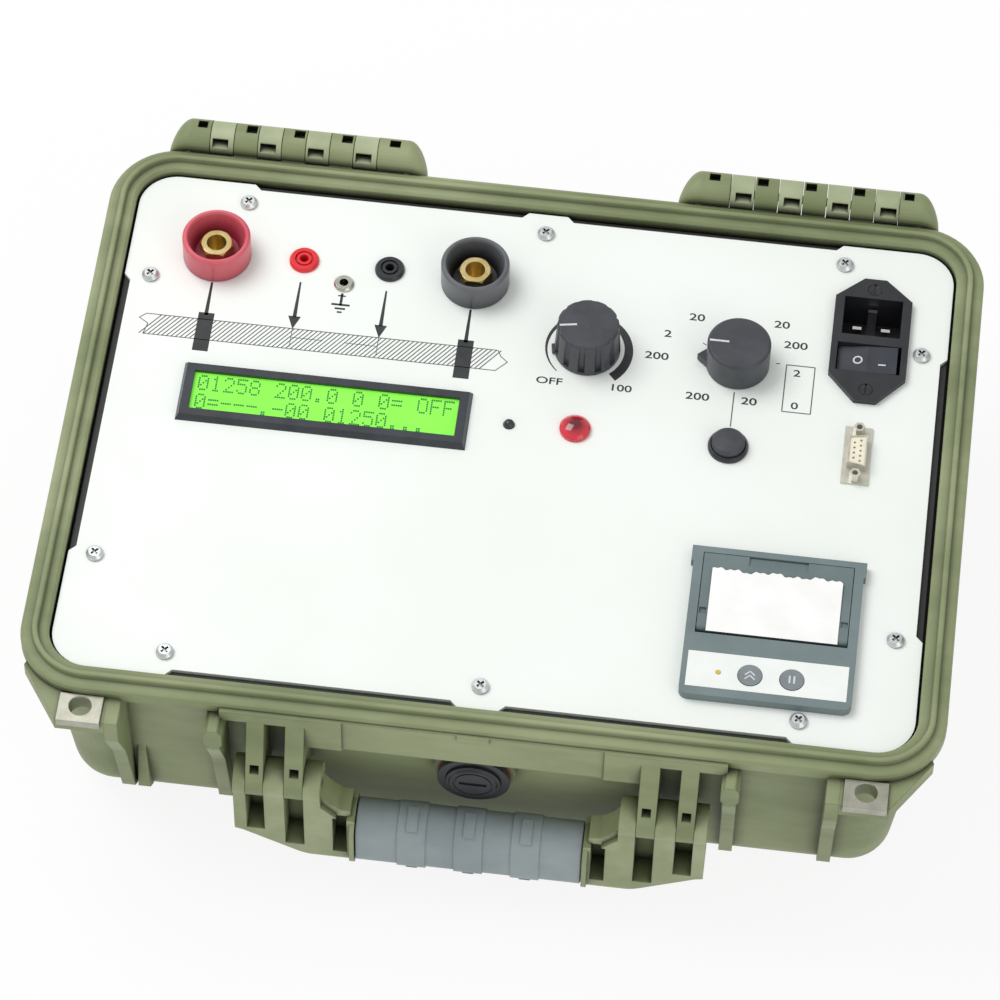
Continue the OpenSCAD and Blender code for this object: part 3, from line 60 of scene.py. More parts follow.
# %% [markdown]
# ## The camera
# The photograph was taken from far away with a long lens, a little to the right of the middle and
# from well above. A 180 mm lens at 2.2 m gives the same gentle perspective. The camera is rolled
# by a little over a degree, so its three axes are worked out and written into its matrix.

# %% Camera
AZIMUTH, ELEVATION, ROLL = math.radians(5.809), math.radians(55.934), math.radians(-1.321)
LOOKS_AT = Vector((-3.296 * MM, -25.522 * MM, PANEL))
DISTANCE = 2217.011 * MM
LENS_MM, SENSOR_MM = 180, 36
level = Vector((math.cos(AZIMUTH), math.sin(AZIMUTH), 0))
inward = Vector((math.sin(AZIMUTH), -math.cos(AZIMUTH), 0))
back = inward * math.cos(ELEVATION) + Vector((0, 0, math.sin(ELEVATION)))
rise = back.cross(level)
right = level * math.cos(ROLL) - rise * math.sin(ROLL)
upward = level * math.sin(ROLL) + rise * math.cos(ROLL)
place = LOOKS_AT + back * DISTANCE
turn = Matrix((right, upward, back)).transposed().to_4x4()
camera = bpy.data.objects.new("camera", bpy.data.cameras.new("camera"))
camera.data.lens = LENS_MM
camera.data.sensor_width = SENSOR_MM
camera.data.clip_start, camera.data.clip_end = 0.1, 50
camera.matrix_world = Matrix.Translation(place) @ turn
bpy.context.scene.collection.objects.link(camera)
bpy.context.scene.camera = camera
print("camera at", [round(v, 3) for v in place])

# %% [markdown]
# ## Colour and nodes
# Colours are written as the hex values that a paint program shows. Blender works with light, which
# is linear, so one function turns one into the other. A second small function adds a node, sets it
# up and joins its inputs, which keeps each material short enough to read.
#
# Every finish below is one call. After the two colours come the size of the colour patches, the
# size of the grain and its height, all in millimetres, then the roughness and how metallic it is.

# %% Helpers for materials
def linear(hex_colour):
    parts = [int(hex_colour[i:i + 2], 16) / 255 for i in (1, 3, 5)]
    return (*(p / 12.92 if p <= 0.04045 else ((p + 0.055) / 1.055) ** 2.4 for p in parts), 1.0)


def add(tree, kind, inputs=None, **settings):
    made = tree.nodes.new(kind)
    for key, value in settings.items():
        setattr(made, key, value)
    for key, value in (inputs or {}).items():
        if isinstance(value, bpy.types.NodeSocket):
            tree.links.new(value, made.inputs[key])
        else:
            made.inputs[key].default_value = value
    return made


def noise(tree, where, size_mm, detail, rough):
    """A pattern whose largest features are about size_mm across. Coordinates are in metres."""
    given = {"Vector": where, "Scale": 1000 / size_mm, "Detail": detail, "Roughness": rough}
    return add(tree, "ShaderNodeTexNoise", given).outputs["Fac"]


def two_tone(tree, share, low, high, first, last):
    """One colour up to the share called first, another from the share called last."""
    ramp = add(tree, "ShaderNodeValToRGB", {"Fac": share})
    ends = ramp.color_ramp.elements
    ends[0].position, ends[1].position = first, last
    ends[0].color, ends[1].color = linear(low), linear(high)
    return ramp.outputs["Color"]


def finish_of(name, low, high, patch_mm, grain_mm, bump_mm, rough, metallic=0.0, edge_mm=0.0,
              more=None, stretch=(1, 1, 1), recess_shade=None, recess_shade_mm=7):
    """A surface with slow changes of colour, a fine grain and painted shade in its recesses, at real sizes.

    The eye reads the patches as a moulding or coating that isn't quite even, and the grain as the skin
    of the material. Where a shade colour is given, an ambient occlusion node mixes it in as painted
    shade in recesses and creases. A bevel in the shading catches light along the edges, as a real
    radius does.
    """
    made = bpy.data.materials.new(name)
    made.use_nodes = True
    tree = made.node_tree
    shader = tree.nodes["Principled BSDF"]
    where = add(tree, "ShaderNodeTexCoord").outputs["Object"]
    drawn = add(tree, "ShaderNodeVectorMath", {0: where, 1: stretch}, operation="MULTIPLY")
    patches = noise(tree, drawn.outputs["Vector"], patch_mm, 4.0, 0.6)
    colour = two_tone(tree, patches, low, high, 0.34, 0.66)
    if recess_shade:
        # Painted shade: recesses and creases are darkened towards the given colour by ambient occlusion.
        sky_seen = add(tree, "ShaderNodeAmbientOcclusion", {"Distance": recess_shade_mm * MM}, samples=4)
        open_share = add(tree, "ShaderNodeMapRange", {
            "Value": sky_seen.outputs["AO"], "From Min": 0.3, "From Max": 0.9}).outputs["Result"]
        painted_shade_mix = add(tree, "ShaderNodeMix", {0: open_share, 6: linear(recess_shade), 7: colour}, data_type="RGBA")
        colour = painted_shade_mix.outputs[2]
    tree.links.new(colour, shader.inputs["Base Color"])
    grain = noise(tree, where, grain_mm, 3.0, 0.55)
    dull = add(tree, "ShaderNodeMapRange", {"Value": grain, "To Min": rough - 0.06, "To Max": rough + 0.06})
    tree.links.new(dull.outputs["Result"], shader.inputs["Roughness"])
    bump = add(tree, "ShaderNodeBump", {"Height": grain, "Strength": 0.8, "Distance": bump_mm * MM})
    if edge_mm:
        soft = add(tree, "ShaderNodeBevel", {"Radius": edge_mm * MM}, samples=4)
        tree.links.new(soft.outputs["Normal"], bump.inputs["Normal"])
    tree.links.new(bump.outputs["Normal"], shader.inputs["Normal"])
    shader.inputs["Metallic"].default_value = metallic
    for key, value in (more or {}).items():
        shader.inputs[key].default_value = value
    return made


def dress(material, *names):
    for name in names:
        data = nodes[name].data
        if not data.materials:
            data.materials.append(material)
        for k in range(len(data.materials)):
            data.materials[k] = material
        for slot in nodes[name].material_slots:
            slot.material = material
    print(material.name, "on", len(names), "nodes")


# %% [markdown]
# ## Moulded plastics
# The case is a polypropylene copolymer, injected as a foam into a steel mould with a fine spark
# finish. That leaves a matt skin with a grain of about half a millimetre and faint clouds where the
# melt met. The handle is the same plastic from another mould. The grip is moulded over it in a
# softer rubber, so it is greyer and smoother. Painted shade in the grooves makes the rim's steps
# and the ribs stand out. The lid's knuckles use a lighter copy of the case plastic, which is painted
# light for the light that falls on the hinges.

# %% Case, handle and grip
# In each of these calls, the last colour is painted shade for recesses and grooves.
case_plastic = finish_of("moulded copolymer, olive", "#7b865d", "#9ca57d", 46, 0.7, 0.10, 0.52, edge_mm=0.8,
                         more={"Specular IOR Level": 0.45}, stretch=(0.4, 1, 1), recess_shade="#1c1d12", recess_shade_mm=6)
# A lighter copy of the case olive: painted light on the hinge knuckles, not a plastic of their own.
knuckle_plastic_painted_lighter = finish_of("moulded copolymer, lid, painted lighter", "#9ba581", "#b2ba97", 30, 0.7, 0.10, 0.48, edge_mm=0.7,
                            more={"Specular IOR Level": 0.48}, recess_shade="#15160d", recess_shade_mm=6)
handle_plastic = finish_of("moulded copolymer, handle", "#8b956b", "#a4ad87", 36, 0.6, 0.08, 0.45, edge_mm=0.8,
                           more={"Specular IOR Level": 0.5}, recess_shade="#181a0f", recess_shade_mm=7)
grip_rubber = finish_of("overmoulded rubber, slate", "#8d999c", "#9ba6a8", 30, 0.5, 0.05, 0.5, edge_mm=0.5,
                        more={"Specular IOR Level": 0.45})
dress(case_plastic, "case_base", "padlock_blocks")
dress(knuckle_plastic_painted_lighter, "lid_knuckles_left", "lid_knuckles_right")
dress(handle_plastic, "handle_frame")
dress(grip_rubber, "handle_grip")

# %% [markdown]
# ## Painted metal
# The panel is sheet aluminium with a satin powder coat of a very pale green white. Powder coat
# levels out into a faint orange peel about a millimetre across, which breaks up what the panel
# mirrors into a soft sheen. The frame under it is black and shows as a dark line round the panel.

# %% Panel and frame
panel_paint = finish_of("powder coated aluminium, green white", "#f1f6f1", "#f6faf6", 90, 1.1, 0.015, 0.42,
                        edge_mm=0.3, more={"Specular IOR Level": 0.4})
frame_paint = finish_of("painted steel, black", "#242524", "#303130", 40, 0.8, 0.03, 0.5, edge_mm=0.3)
dress(panel_paint, "front_panel")
dress(frame_paint, "panel_frame")

# %% [markdown]
# ## Bare metals
# Pins, screws and plates are steel with bright zinc, the contacts are turned brass. A metal takes
# its look from what it mirrors, so its colour is set high and the roughness says how it was made:
# plated blades are the smoothest, drawn pins and pressed plates the dullest. Painted shade in the
# recesses makes the cross in each screw head readable.

# %% Metals
pin_steel = finish_of("drawn steel", "#8b8d8b", "#9a9c99", 10, 0.3, 0.01, 0.36, 1.0)
# The last colour is painted shade in the recesses, such as the cross of each screw head.
zinc_steel = finish_of("zinc plated steel", "#cfd3d4", "#eceeee", 5, 0.2, 0.01, 0.34, 0.85, edge_mm=0.15,
                       recess_shade="#5a5c5c", recess_shade_mm=1.5)
black_oxide = finish_of("blackened steel", "#37383b", "#47484c", 4, 0.2, 0.01, 0.36, 0.6, edge_mm=0.15)
plate_steel = finish_of("pressed sheet steel", "#a09f91", "#b6b4a7", 9, 0.3, 0.015, 0.36, 0.75, edge_mm=0.4)
brass = finish_of("turned brass", "#cfb672", "#e6d49c", 6, 0.25, 0.01, 0.3, 0.9, edge_mm=0.3)
earth_metal = finish_of("nickel plated brass", "#b8b7ab", "#d2d0c2", 5, 0.2, 0.01, 0.26, 1.0, edge_mm=0.15)
tin_shell = finish_of("tinned steel", "#c9c7b9", "#dedccf", 6, 0.25, 0.01, 0.38, 0.6, edge_mm=0.2)
blade_nickel = finish_of("nickel plated blades", "#d8dad6", "#f0f1ee", 4, 0.2, 0.005, 0.22, 1.0)
dress(pin_steel, "hinge_pins", "handle_pins", "current_shaft", "range_shaft")
dress(black_oxide, "inlet_screws")
dress(zinc_steel, "panel_screws", "terminal_nuts", "socket_nuts", "transformer_clamp")
dress(plate_steel, "padlock_plates")
dress(brass, "red_contact", "black_contact")
dress(earth_metal, "earth_socket")
dress(tin_shell, "serial_shell", "serial_jackscrews")
dress(blade_nickel, "inlet_pins")

# %% [markdown]
# ## Fittings on the panel
# Terminals and sockets are glossy polyamide, with a small, sharp highlight. Knobs, the rocker and
# the inlet are satin ABS, which shows a softer, wider one. The cups have painted shade that darkens
# them towards their bottom, so the brass in them looks deep set. The lamp lens is cast acrylic that
# lets some light in. It is thick in the middle over a dark socket, so it goes from deep to bright
# red outwards.

# %% Fittings
# The last colour is painted shade deep inside the red cup.
red_cup = finish_of("polyamide, crimson", "#d45a68", "#e06a76", 20, 0.4, 0.01, 0.32, edge_mm=0.4,
                    recess_shade="#8c2038", recess_shade_mm=10)
red_socket = finish_of("polyamide, signal red", "#dc2229", "#e8323a", 10, 0.3, 0.01, 0.3, edge_mm=0.3)
black_gloss = finish_of("polyamide, black", "#26282c", "#303237", 20, 0.4, 0.01, 0.32, edge_mm=0.4)
# The last colour is painted shade deep inside the black cup.
black_cup = finish_of("polyamide, dark grey", "#5c5e62", "#6c6e72", 20, 0.4, 0.01, 0.34, edge_mm=0.4,
                      recess_shade="#08090b", recess_shade_mm=12)
knob_plastic = finish_of("satin ABS, charcoal", "#3a3c42", "#45484e", 12, 0.4, 0.02, 0.42, edge_mm=0.5)
rocker_plastic = finish_of("satin ABS, blue black", "#2c2e36", "#363944", 14, 0.4, 0.02, 0.36, edge_mm=0.4)
bezel_plastic = finish_of("satin ABS, bezel", "#2e3136", "#3b3f46", 14, 0.4, 0.02, 0.3, edge_mm=0.5)
inlet_plastic = finish_of("satin ABS, black", "#232428", "#2c2d32", 14, 0.4, 0.02, 0.4, edge_mm=0.4)
seal_rubber = finish_of("moulded rubber, red", "#b3402f", "#bf4e3a", 8, 0.4, 0.02, 0.55)
lens_dark = finish_of("cast epoxy, smoked", "#2a3032", "#343b3d", 3, 0.2, 0.005, 0.15)
cream_insert = finish_of("moulded polyester, cream", "#ece5cd", "#f5efdc", 6, 0.3, 0.01, 0.45)
lens_red = finish_of("cast acrylic, red", "#b81f2c", "#c62a36", 6, 0.3, 0.005, 0.16, more={
    "Coat Weight": 0.6, "Subsurface Weight": 0.2, "Subsurface Radius": (0.004, 0.001, 0.001)})

LAMP_CENTRE, LENS_RADIUS = (25.4 * MM, 16.6 * MM, 0), 7 * MM
tree = lens_red.node_tree
where = add(tree, "ShaderNodeTexCoord").outputs["Object"]
flat = add(tree, "ShaderNodeVectorMath", {0: where, 1: (1, 1, 0)}, operation="MULTIPLY").outputs["Vector"]
away = add(tree, "ShaderNodeVectorMath", {0: flat, 1: LAMP_CENTRE}, operation="DISTANCE").outputs["Value"]
share = add(tree, "ShaderNodeMapRange", {"Value": away, "From Max": LENS_RADIUS}).outputs["Result"]
depth = two_tone(tree, share, "#6f0d1c", "#d8303f", 0.3, 0.8)
tree.links.new(depth, tree.nodes["Principled BSDF"].inputs["Base Color"])

dress(red_cup, "red_terminal_cup")
dress(red_socket, "red_sense_socket")
dress(black_cup, "black_terminal_cup")
dress(black_gloss, "black_sense_socket", "start_switch")
dress(knob_plastic, "current_knob", "range_knob", "start_button")
dress(rocker_plastic, "power_rocker")
dress(bezel_plastic, "lcd_bezel")
dress(inlet_plastic, "inlet_housing", "purge_valve_body", "purge_valve_cap", "lamp_body")
dress(seal_rubber, "purge_valve_seal")
dress(lens_red, "lamp_lens")
dress(lens_dark, "status_led")
dress(cream_insert, "serial_insert")

# %% [markdown]
# ## The printer
# Its housing and door are slate grey ABS, the door a shade darker, as two mouldings seldom match.
# The key plate is a white printed film with two grey keys and a small yellow lamp. The paper is
# smooth and bright, and dull enough to show no highlight.

# %% Printer finishes
slate_abs = finish_of("moulded ABS, slate", "#6c7b7c", "#788788", 30, 0.5, 0.03, 0.45, edge_mm=0.4)
slate_dark = finish_of("moulded ABS, dark slate", "#657374", "#707f80", 30, 0.5, 0.03, 0.42, edge_mm=0.4)
key_film = finish_of("printed film, white", "#eef3ef", "#f6f9f6", 20, 0.5, 0.005, 0.35)
key_grey = finish_of("printed film, grey", "#7b8386", "#858d90", 8, 0.4, 0.005, 0.4)
led_yellow = finish_of("cast epoxy, yellow", "#b9aa4e", "#d8c94a", 2, 0.2, 0.005, 0.2)
paper_white = finish_of("thermal paper", "#f6f6f3", "#ffffff", 18, 0.4, 0.01, 0.6)
dress(slate_abs, "printer_bezel")
dress(slate_dark, "printer_door")
dress(key_film, "printer_key_plate")
dress(key_grey, "feed_button", "pause_button")
dress(led_yellow, "printer_led")
dress(paper_white, "paper_strip", "paper_roll")

# %% [markdown]
# ## What the panel hides
# The parts under the panel never show, but each has the finish of the real thing, for anyone who
# takes the model apart.

# %% Inner finishes
board_green = finish_of("glass epoxy with solder resist", "#2b6341", "#35714b", 12, 0.6, 0.01, 0.4)
winding = finish_of("polyester tape over copper", "#86562f", "#96653b", 12, 1.5, 0.08, 0.35)
aluminium = finish_of("extruded aluminium", "#a6aaad", "#b6babc", 30, 0.4, 0.01, 0.4, 1.0)
phenolic = finish_of("moulded phenolic", "#54463a", "#5f5144", 10, 0.5, 0.02, 0.45)
copper = finish_of("copper bar", "#b3653a", "#c67a4c", 20, 0.4, 0.01, 0.35, 1.0)
dress(board_green, "main_board", "lcd_module")
dress(winding, "transformer_winding")
dress(aluminium, "heat_sink")
dress(phenolic, "current_control", "range_switch", "rectifier_module", "printer_mechanism")
dress(copper, "current_busbars")

# %% [markdown]
# ## Display
# A character display has a green backlight that shines through the glass. The glass is given the
# green and a little light of its own, so it stays bright where the bezel shades it.

# %% Display glass
display_glass = finish_of("backlit display glass", "#7be545", "#86f04c", 60, 1.0, 0.0, 0.25,
                          more={"Emission Color": linear("#84f04a"), "Emission Strength": 0.35})
dress(display_glass, "lcd_window")

# %% [markdown]
# ## Making pieces
# A few small functions make every new piece: one puts a mesh in the scene and lets it ride on a
# body, one builds it from faces, one closes a plate between two rings of points, and one keeps
# what modifiers or a curve come to.

# %% Helpers for pieces
def keep(name, data, body):
    made = bpy.data.objects.new(name, data)
    bpy.context.scene.collection.objects.link(made)
    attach(made, body)
    return made


def solid(name, build, material, body):
    """A mesh made by build(bm), with a finish, that rides on a body."""
    bm = bmesh.new()
    build(bm)
    bmesh.ops.recalc_face_normals(bm, faces=bm.faces)
    data = bpy.data.meshes.new(name)
    bm.to_mesh(data)
    bm.free()
    data.materials.append(material)
    return keep(name, data, body)


def walls(bm, low, high):
    for k in range(len(low)):
        j = (k + 1) % len(low)
        bm.faces.new((low[k], low[j], high[j], high[k]))


def plate(bm, low, high):
    """A closed plate between two rings of points with as many corners, in millimetres."""
    floor, roof = ([bm.verts.new([v * MM for v in point]) for point in ring] for ring in (low, high))
    bm.faces.new(roof)
    bm.faces.new(floor[::-1])
    walls(bm, floor, roof)


def baked(thing):
    """The mesh that an object's modifiers, or its curve, come to."""
    return bpy.data.meshes.new_from_object(thing.evaluated_get(bpy.context.evaluated_depsgraph_get()))


def body_of(node):
    bodies = frame["record"]["behaviour"]["bodies"]
    return next(name for name, held in bodies.items() if node in held)


print("helpers ready")

# %% [markdown]
# ## Printing on the panel
# Screen printing leaves a film of ink a few hundredths of a millimetre thick. Each mark is drawn as
# a flat outline in millimetres from the middle of the panel and raised by that thickness. Fine
# lines look greyer than the blocks, because so thin a stroke prints with soft edges.

# %% Helpers for printed marks
INK = 0.06
black_ink = finish_of("screen ink, black", "#26282a", "#303335", 6, 0.3, 0.004, 0.5)
thin_ink = finish_of("screen ink, fine lines", "#4a4d4c", "#5a5d5b", 4, 0.3, 0.004, 0.5)
white_ink = finish_of("pad print, white", "#c9cdd2", "#dde0e4", 4, 0.3, 0.004, 0.45)


def line(a, b, width):
    """The four corners of a straight stroke."""
    (ax, ay), (bx, by) = a, b
    length = math.hypot(bx - ax, by - ay)
    nx, ny = -(by - ay) / length * width / 2, (bx - ax) / length * width / 2
    return [(ax + nx, ay + ny), (ax - nx, ay - ny), (bx - nx, by - ny), (bx + nx, by + ny)]


def taper(x, low, high, half_low, half_high):
    """A stroke straight up the panel that goes from one half width to another."""
    return [(x - half_low, low), (x + half_low, low), (x + half_high, high), (x - half_high, high)]


def marks(name, outlines, material, body="case", base=PANEL_TOP):
    def build(bm):
        for points in outlines:
            plate(bm, [(x, y, base) for x, y in points], [(x, y, base + INK) for x, y in points])
    solid(name, build, material, body)


print("inks ready")

# %% [markdown]
# The wiring sketch shows how to join the leads to a bar: two thick clamp blocks, two arrows, and a
# hatched bar with torn ends. The arrows stand at the two sense sockets, the blocks at the cups.

# %% Wiring sketch
BAR_LEFT, BAR_RIGHT, BAR_LOW, BAR_TOP = -177.8, -9.0, 44.2, 55.5
SENSE_X, CLAMP_X, LEAD_X, EARTH_X = (-108, -68.5), (-147.8, -29.0), (-148.0, -29.1), -88.2
EDGE_LINE, FINE_LINE, SPAN_Y = 0.4, 0.3, 50.6
left_tear = [(BAR_LEFT + 3, BAR_TOP), (BAR_LEFT, BAR_TOP - 2.6),
             (BAR_LEFT + 4.4, BAR_TOP - 5.4), (BAR_LEFT + 3, BAR_LOW)]
right_tear = [(BAR_RIGHT - 5, BAR_TOP), (BAR_RIGHT - 3.2, BAR_TOP - 3.4),
              (BAR_RIGHT, BAR_TOP - 6), (BAR_RIGHT - 5, BAR_LOW)]
sketch = [line(left_tear[k], right_tear[k], EDGE_LINE) for k in (0, 3)]
sketch += [line(tear[k], tear[k + 1], EDGE_LINE) for tear in (left_tear, right_tear) for k in range(3)]
sketch += [line((first, SPAN_Y), (last, SPAN_Y), FINE_LINE)
           for first, last in ((SENSE_X[0], -93.5), (-83, SENSE_X[1]))]
sketch += [line((x, BAR_LOW + 1), (x, BAR_TOP), FINE_LINE) for x in SENSE_X]
marks("print_bar_outline", sketch, thin_ink)
clamps = [taper(x, 37.9, 59.3, 3.6, 3.6) for x in CLAMP_X]
clamps += [taper(x, 58, 76.6, 0.9, 0.5) for x in LEAD_X]
clamps += [[(x - 2.9, 62.5), (x, 55.4), (x + 2.9, 62.5)] for x in SENSE_X]
clamps += [taper(x, 62, 82, 0.9, 0.4) for x in SENSE_X]
marks("print_clamps_and_arrows", clamps, black_ink)
earth_sign = [line((EARTH_X, 78), (EARTH_X, 71), 1.2)]
earth_sign += [line((EARTH_X - half, y), (EARTH_X + half, y), width)
               for half, y, width in ((1.8, 76.6, 0.7), (4.2, 71.6, 1.1), (2.4, 69.4, 1.0), (1.1, 67.4, 0.9))]
marks("print_earth_sign", earth_sign, black_ink)
print("sketch strokes", len(sketch) + len(clamps) + len(earth_sign))

# %% [markdown]
# The hatching repeats one slanted stroke. Geometry Nodes set points along a line, put a stroke on
# each and turn the instances into real faces, because an exported model keeps no instances.

# %% A tree that repeats a stroke along a line
def new_tree(name, **kinds):
    """A geometry tree with one more input for each name and kind of socket given."""
    tree = bpy.data.node_groups.new(name, "GeometryNodeTree")
    tree.interface.new_socket(name="Geometry", in_out="INPUT", socket_type="NodeSocketGeometry")
    tree.interface.new_socket(name="Geometry", in_out="OUTPUT", socket_type="NodeSocketGeometry")
    for socket, kind in kinds.items():
        tree.interface.new_socket(name=socket, in_out="INPUT", socket_type="NodeSocket" + kind)
    return tree, add(tree, "NodeGroupInput").outputs


def repeat(tree, points, piece, ink, **turned):
    """Puts the piece on each point as real, inked faces, and ends the tree."""
    placed = add(tree, "GeometryNodeInstanceOnPoints", {"Points": points, "Instance": piece, **turned})
    real = add(tree, "GeometryNodeRealizeInstances", {"Geometry": placed.outputs["Instances"]})
    inked = add(tree, "GeometryNodeSetMaterial", {"Geometry": real.outputs["Geometry"], "Material": ink})
    add(tree, "NodeGroupOutput", {"Geometry": inked.outputs["Geometry"]})


def bake_tree(name, base, tree, values, body):
    """Runs the tree on a base mesh and keeps the result as a plain mesh that rides on a body."""
    carrier = bpy.data.objects.new(name + "_carrier", base)
    bpy.context.scene.collection.objects.link(carrier)
    modifier = carrier.modifiers.new("build", "NODES")
    modifier.node_group = tree
    for item in tree.interface.items_tree:
        if item.in_out == "INPUT" and item.name in values:
            modifier[item.identifier] = values[item.name]
    data = baked(carrier)
    data.name = name
    bpy.data.objects.remove(carrier)
    keep(name, data, body)
    print(name, len(data.polygons), "faces")


hatching, given = new_tree("hatching", Count="Int", Start="Vector", Step="Vector", Stroke="Vector",
                           Slant="Float", Ink="Material")
row = add(hatching, "GeometryNodeMeshLine", {
    "Count": given["Count"], "Start Location": given["Start"], "Offset": given["Step"]})
stroke = add(hatching, "GeometryNodeMeshCube", {"Size": given["Stroke"]})
slant = add(hatching, "ShaderNodeCombineXYZ", {"Z": given["Slant"]})
repeat(hatching, row.outputs["Mesh"], stroke.outputs["Mesh"], given["Ink"], Rotation=slant.outputs["Vector"])

HATCH_ANGLE = math.radians(52)
HATCH_STEP, HATCH_WIDTH, HATCH_INK = 2.1, 0.5, 0.04
hatch_length = (BAR_TOP - BAR_LOW) / math.sin(HATCH_ANGLE)
bake_tree("print_hatching", bpy.data.meshes.new("hatch_base"), hatching, {
    "Count": int((BAR_RIGHT - BAR_LEFT - 10) / HATCH_STEP),
    "Start": ((BAR_LEFT + 5.5) * MM, (BAR_LOW + BAR_TOP) / 2 * MM, PANEL + 0.01 * MM),
    "Step": (HATCH_STEP * MM, 0, 0),
    "Stroke": (hatch_length * MM, HATCH_WIDTH * MM, HATCH_INK * MM),
    "Slant": HATCH_ANGLE,
    "Ink": thin_ink,
}, "case")

# %% [markdown]
# The current scale is a crescent that swells as the current rises. The range scale has a bracket,
# a line down to the button and plain numbers.

# %% Scales
CURRENT, RANGE = (26.0, 61.4), (94.3, 62.0)
THIN = 0.5


def on_circle(centre, radius, degrees):
    a = math.radians(degrees)
    return (centre[0] + radius * math.cos(a), centre[1] + radius * math.sin(a))


def crescent(centre, first, last, inner, outer, steps=60):
    """Short plates along an arc, whose inner and outer radius each go from one value to another."""
    def arc(radii):
        start, growth = radii[0], radii[1] - radii[0]
        shares = [k / steps for k in range(steps + 1)]
        return [on_circle(centre, start + growth * t, first + (last - first) * t) for t in shares]

    rim, core = arc(outer), arc(inner)
    return [[rim[k], rim[k + 1], core[k + 1], core[k]] for k in range(steps)]


marks("print_current_scale", crescent(CURRENT, 228, -48, (18.3, 16.6), (18.7, 21.3)), black_ink)
box_corners = [(116.4, 64.4), (129.3, 64.4), (129.3, 38.5), (116.4, 38.5)]
bracket = [line((RANGE[0], 46.3), (RANGE[0], 27.2), THIN)]
bracket += [line(box_corners[k], box_corners[(k + 1) % 4], THIN) for k in range(4)]
bracket += [line(on_circle(RANGE, 17.4, a), on_circle(RANGE, 19.2, a), 0.45) for a in (150, 8)]
marks("print_range_lines", bracket, thin_ink)
print("scale pieces", len(bracket))

# %% [markdown]
# Numbers are text turned into mesh. The real lettering is wide and light, so the text is stretched
# sideways. Only plain numbers, OFF and the two switch signs are drawn. The rest stays bare.

# %% Numbers
CAPITAL = 0.7  # the height of a capital in Blender's font, as a share of its size
WIDE, HEAVY, TEXT_DEPTH = 1.35, 0.012, 0.01
NUMBERS = (
    ("number_off", "OFF", (10.9, 41.6), 3.6), ("number_full", "100", (43.2, 41.6), 3.6),
    ("number_range_1", "200", (57.6, 61.7), 3.8), ("number_range_2", "2", (61.4, 74.6), 3.8),
    ("number_range_3", "20", (73.7, 85.4), 3.8), ("number_range_4", "20", (112.4, 86.2), 3.8),
    ("number_range_5", "200", (119.6, 75.4), 3.8), ("number_range_6", "2", (121.4, 60), 3.6),
    ("number_range_7", "0", (121.8, 42), 3.6), ("number_low", "200", (78, 41.6), 3.8),
    ("number_high", "20", (101.3, 41.8), 3.8),
)


def number(name, words, at, height):
    curve = bpy.data.curves.new(name, "FONT")
    curve.body = words
    curve.align_x, curve.align_y = "CENTER", "CENTER"
    curve.size, curve.offset, curve.extrude = 1.0, HEAVY, TEXT_DEPTH
    holder = bpy.data.objects.new(name, curve)
    bpy.context.scene.collection.objects.link(holder)
    data = baked(holder)
    bpy.data.objects.remove(holder)
    size = height / CAPITAL * MM
    scale = Matrix.Diagonal((size * WIDE, size, INK * MM / (2 * TEXT_DEPTH), 1))
    data.transform(Matrix.Translation((at[0] * MM, at[1] * MM, (PANEL_TOP + INK / 2) * MM)) @ scale)
    data.materials.clear()
    data.materials.append(black_ink)
    keep(name, data, "case")


for row in NUMBERS:
    number(*row)
print("numbers", len(NUMBERS))

# %% [markdown]
# A white line across the top of each knob shows where it points. It rides on the knob, so it turns
# with it. The signs on the rocker and the keys are pad printed: a soft pad presses the ink onto a
# face that isn't level. A ray from above finds that face under each corner of a sign.

# %% Pointer lines on the knobs, signs on the rocker and keys
CURRENT_KNOB_TOP, RANGE_KNOB_TOP = PANEL_TOP + 19.5, PANEL_TOP + 16.5
FEED, PAUSE, ROCKER_OFF = (115.2, -105.6), (133.4, -105.6), (148.0, 70.4)
RAY_START = 0.3


def pointer(name, centre, degrees, start, end, top, body):
    stroke = line(on_circle(centre, start, degrees), on_circle(centre, end, degrees), 1.0)
    marks(name, [stroke], white_ink, body, top)


def draped(name, outlines, node):
    """Small printed signs that follow the face of a part and ride on its body."""
    def height(x, y):
        hit, at, *_ = nodes[node].ray_cast(Vector((x * MM, y * MM, RAY_START)), Vector((0, 0, -1)))
        return at.z / MM if hit else PANEL_TOP

    def build(bm):
        for points in outlines:
            face = [(x, y, height(x, y)) for x, y in points]
            plate(bm, [(x, y, z - INK) for x, y, z in face], [(x, y, z + INK) for x, y, z in face])
    solid(name, build, white_ink, body_of(node))


pointer("current_pointer", CURRENT, 190, 5.2, 13.0, CURRENT_KNOB_TOP, "current_dial")
pointer("range_pointer", RANGE, 180, 4.6, 13.4, RANGE_KNOB_TOP, "range_dial")
ring = crescent(ROCKER_OFF, 0, 360, (1.5, 1.5), (2.2, 2.2), 24)
draped("rocker_signs", ring + [line((157.4, 68), (160.8, 68), 0.7)], "power_rocker")
chevrons = [line((FEED[0] + s * 2.2, FEED[1] + y - 1.1), (FEED[0], FEED[1] + y + 0.9), 0.6)
            for s in (-1, 1) for y in (-1.0, 1.1)]
draped("feed_sign", chevrons, "feed_button")
bars = [line((PAUSE[0] + x, PAUSE[1] - 1.9), (PAUSE[0] + x, PAUSE[1] + 1.9), 0.8) for x in (-1.0, 1.0)]
draped("pause_sign", bars, "pause_button")
print("pointers and signs done")

# %% [markdown]
# The paper was torn off against the head of the printer, so its end is ragged, and it lifts a
# little along its middle because it comes off a roll. A grid of points gives both.

# %% Torn paper
PAPER_STEPS = (60, 24)
TORN_OFF, LIFT, SHEET, ARCH, CURL = 1.2 * MM, 0.05 * MM, 0.1 * MM, 0.9 * MM, 1.1 * MM
sheet_low, sheet_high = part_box("paper_strip")


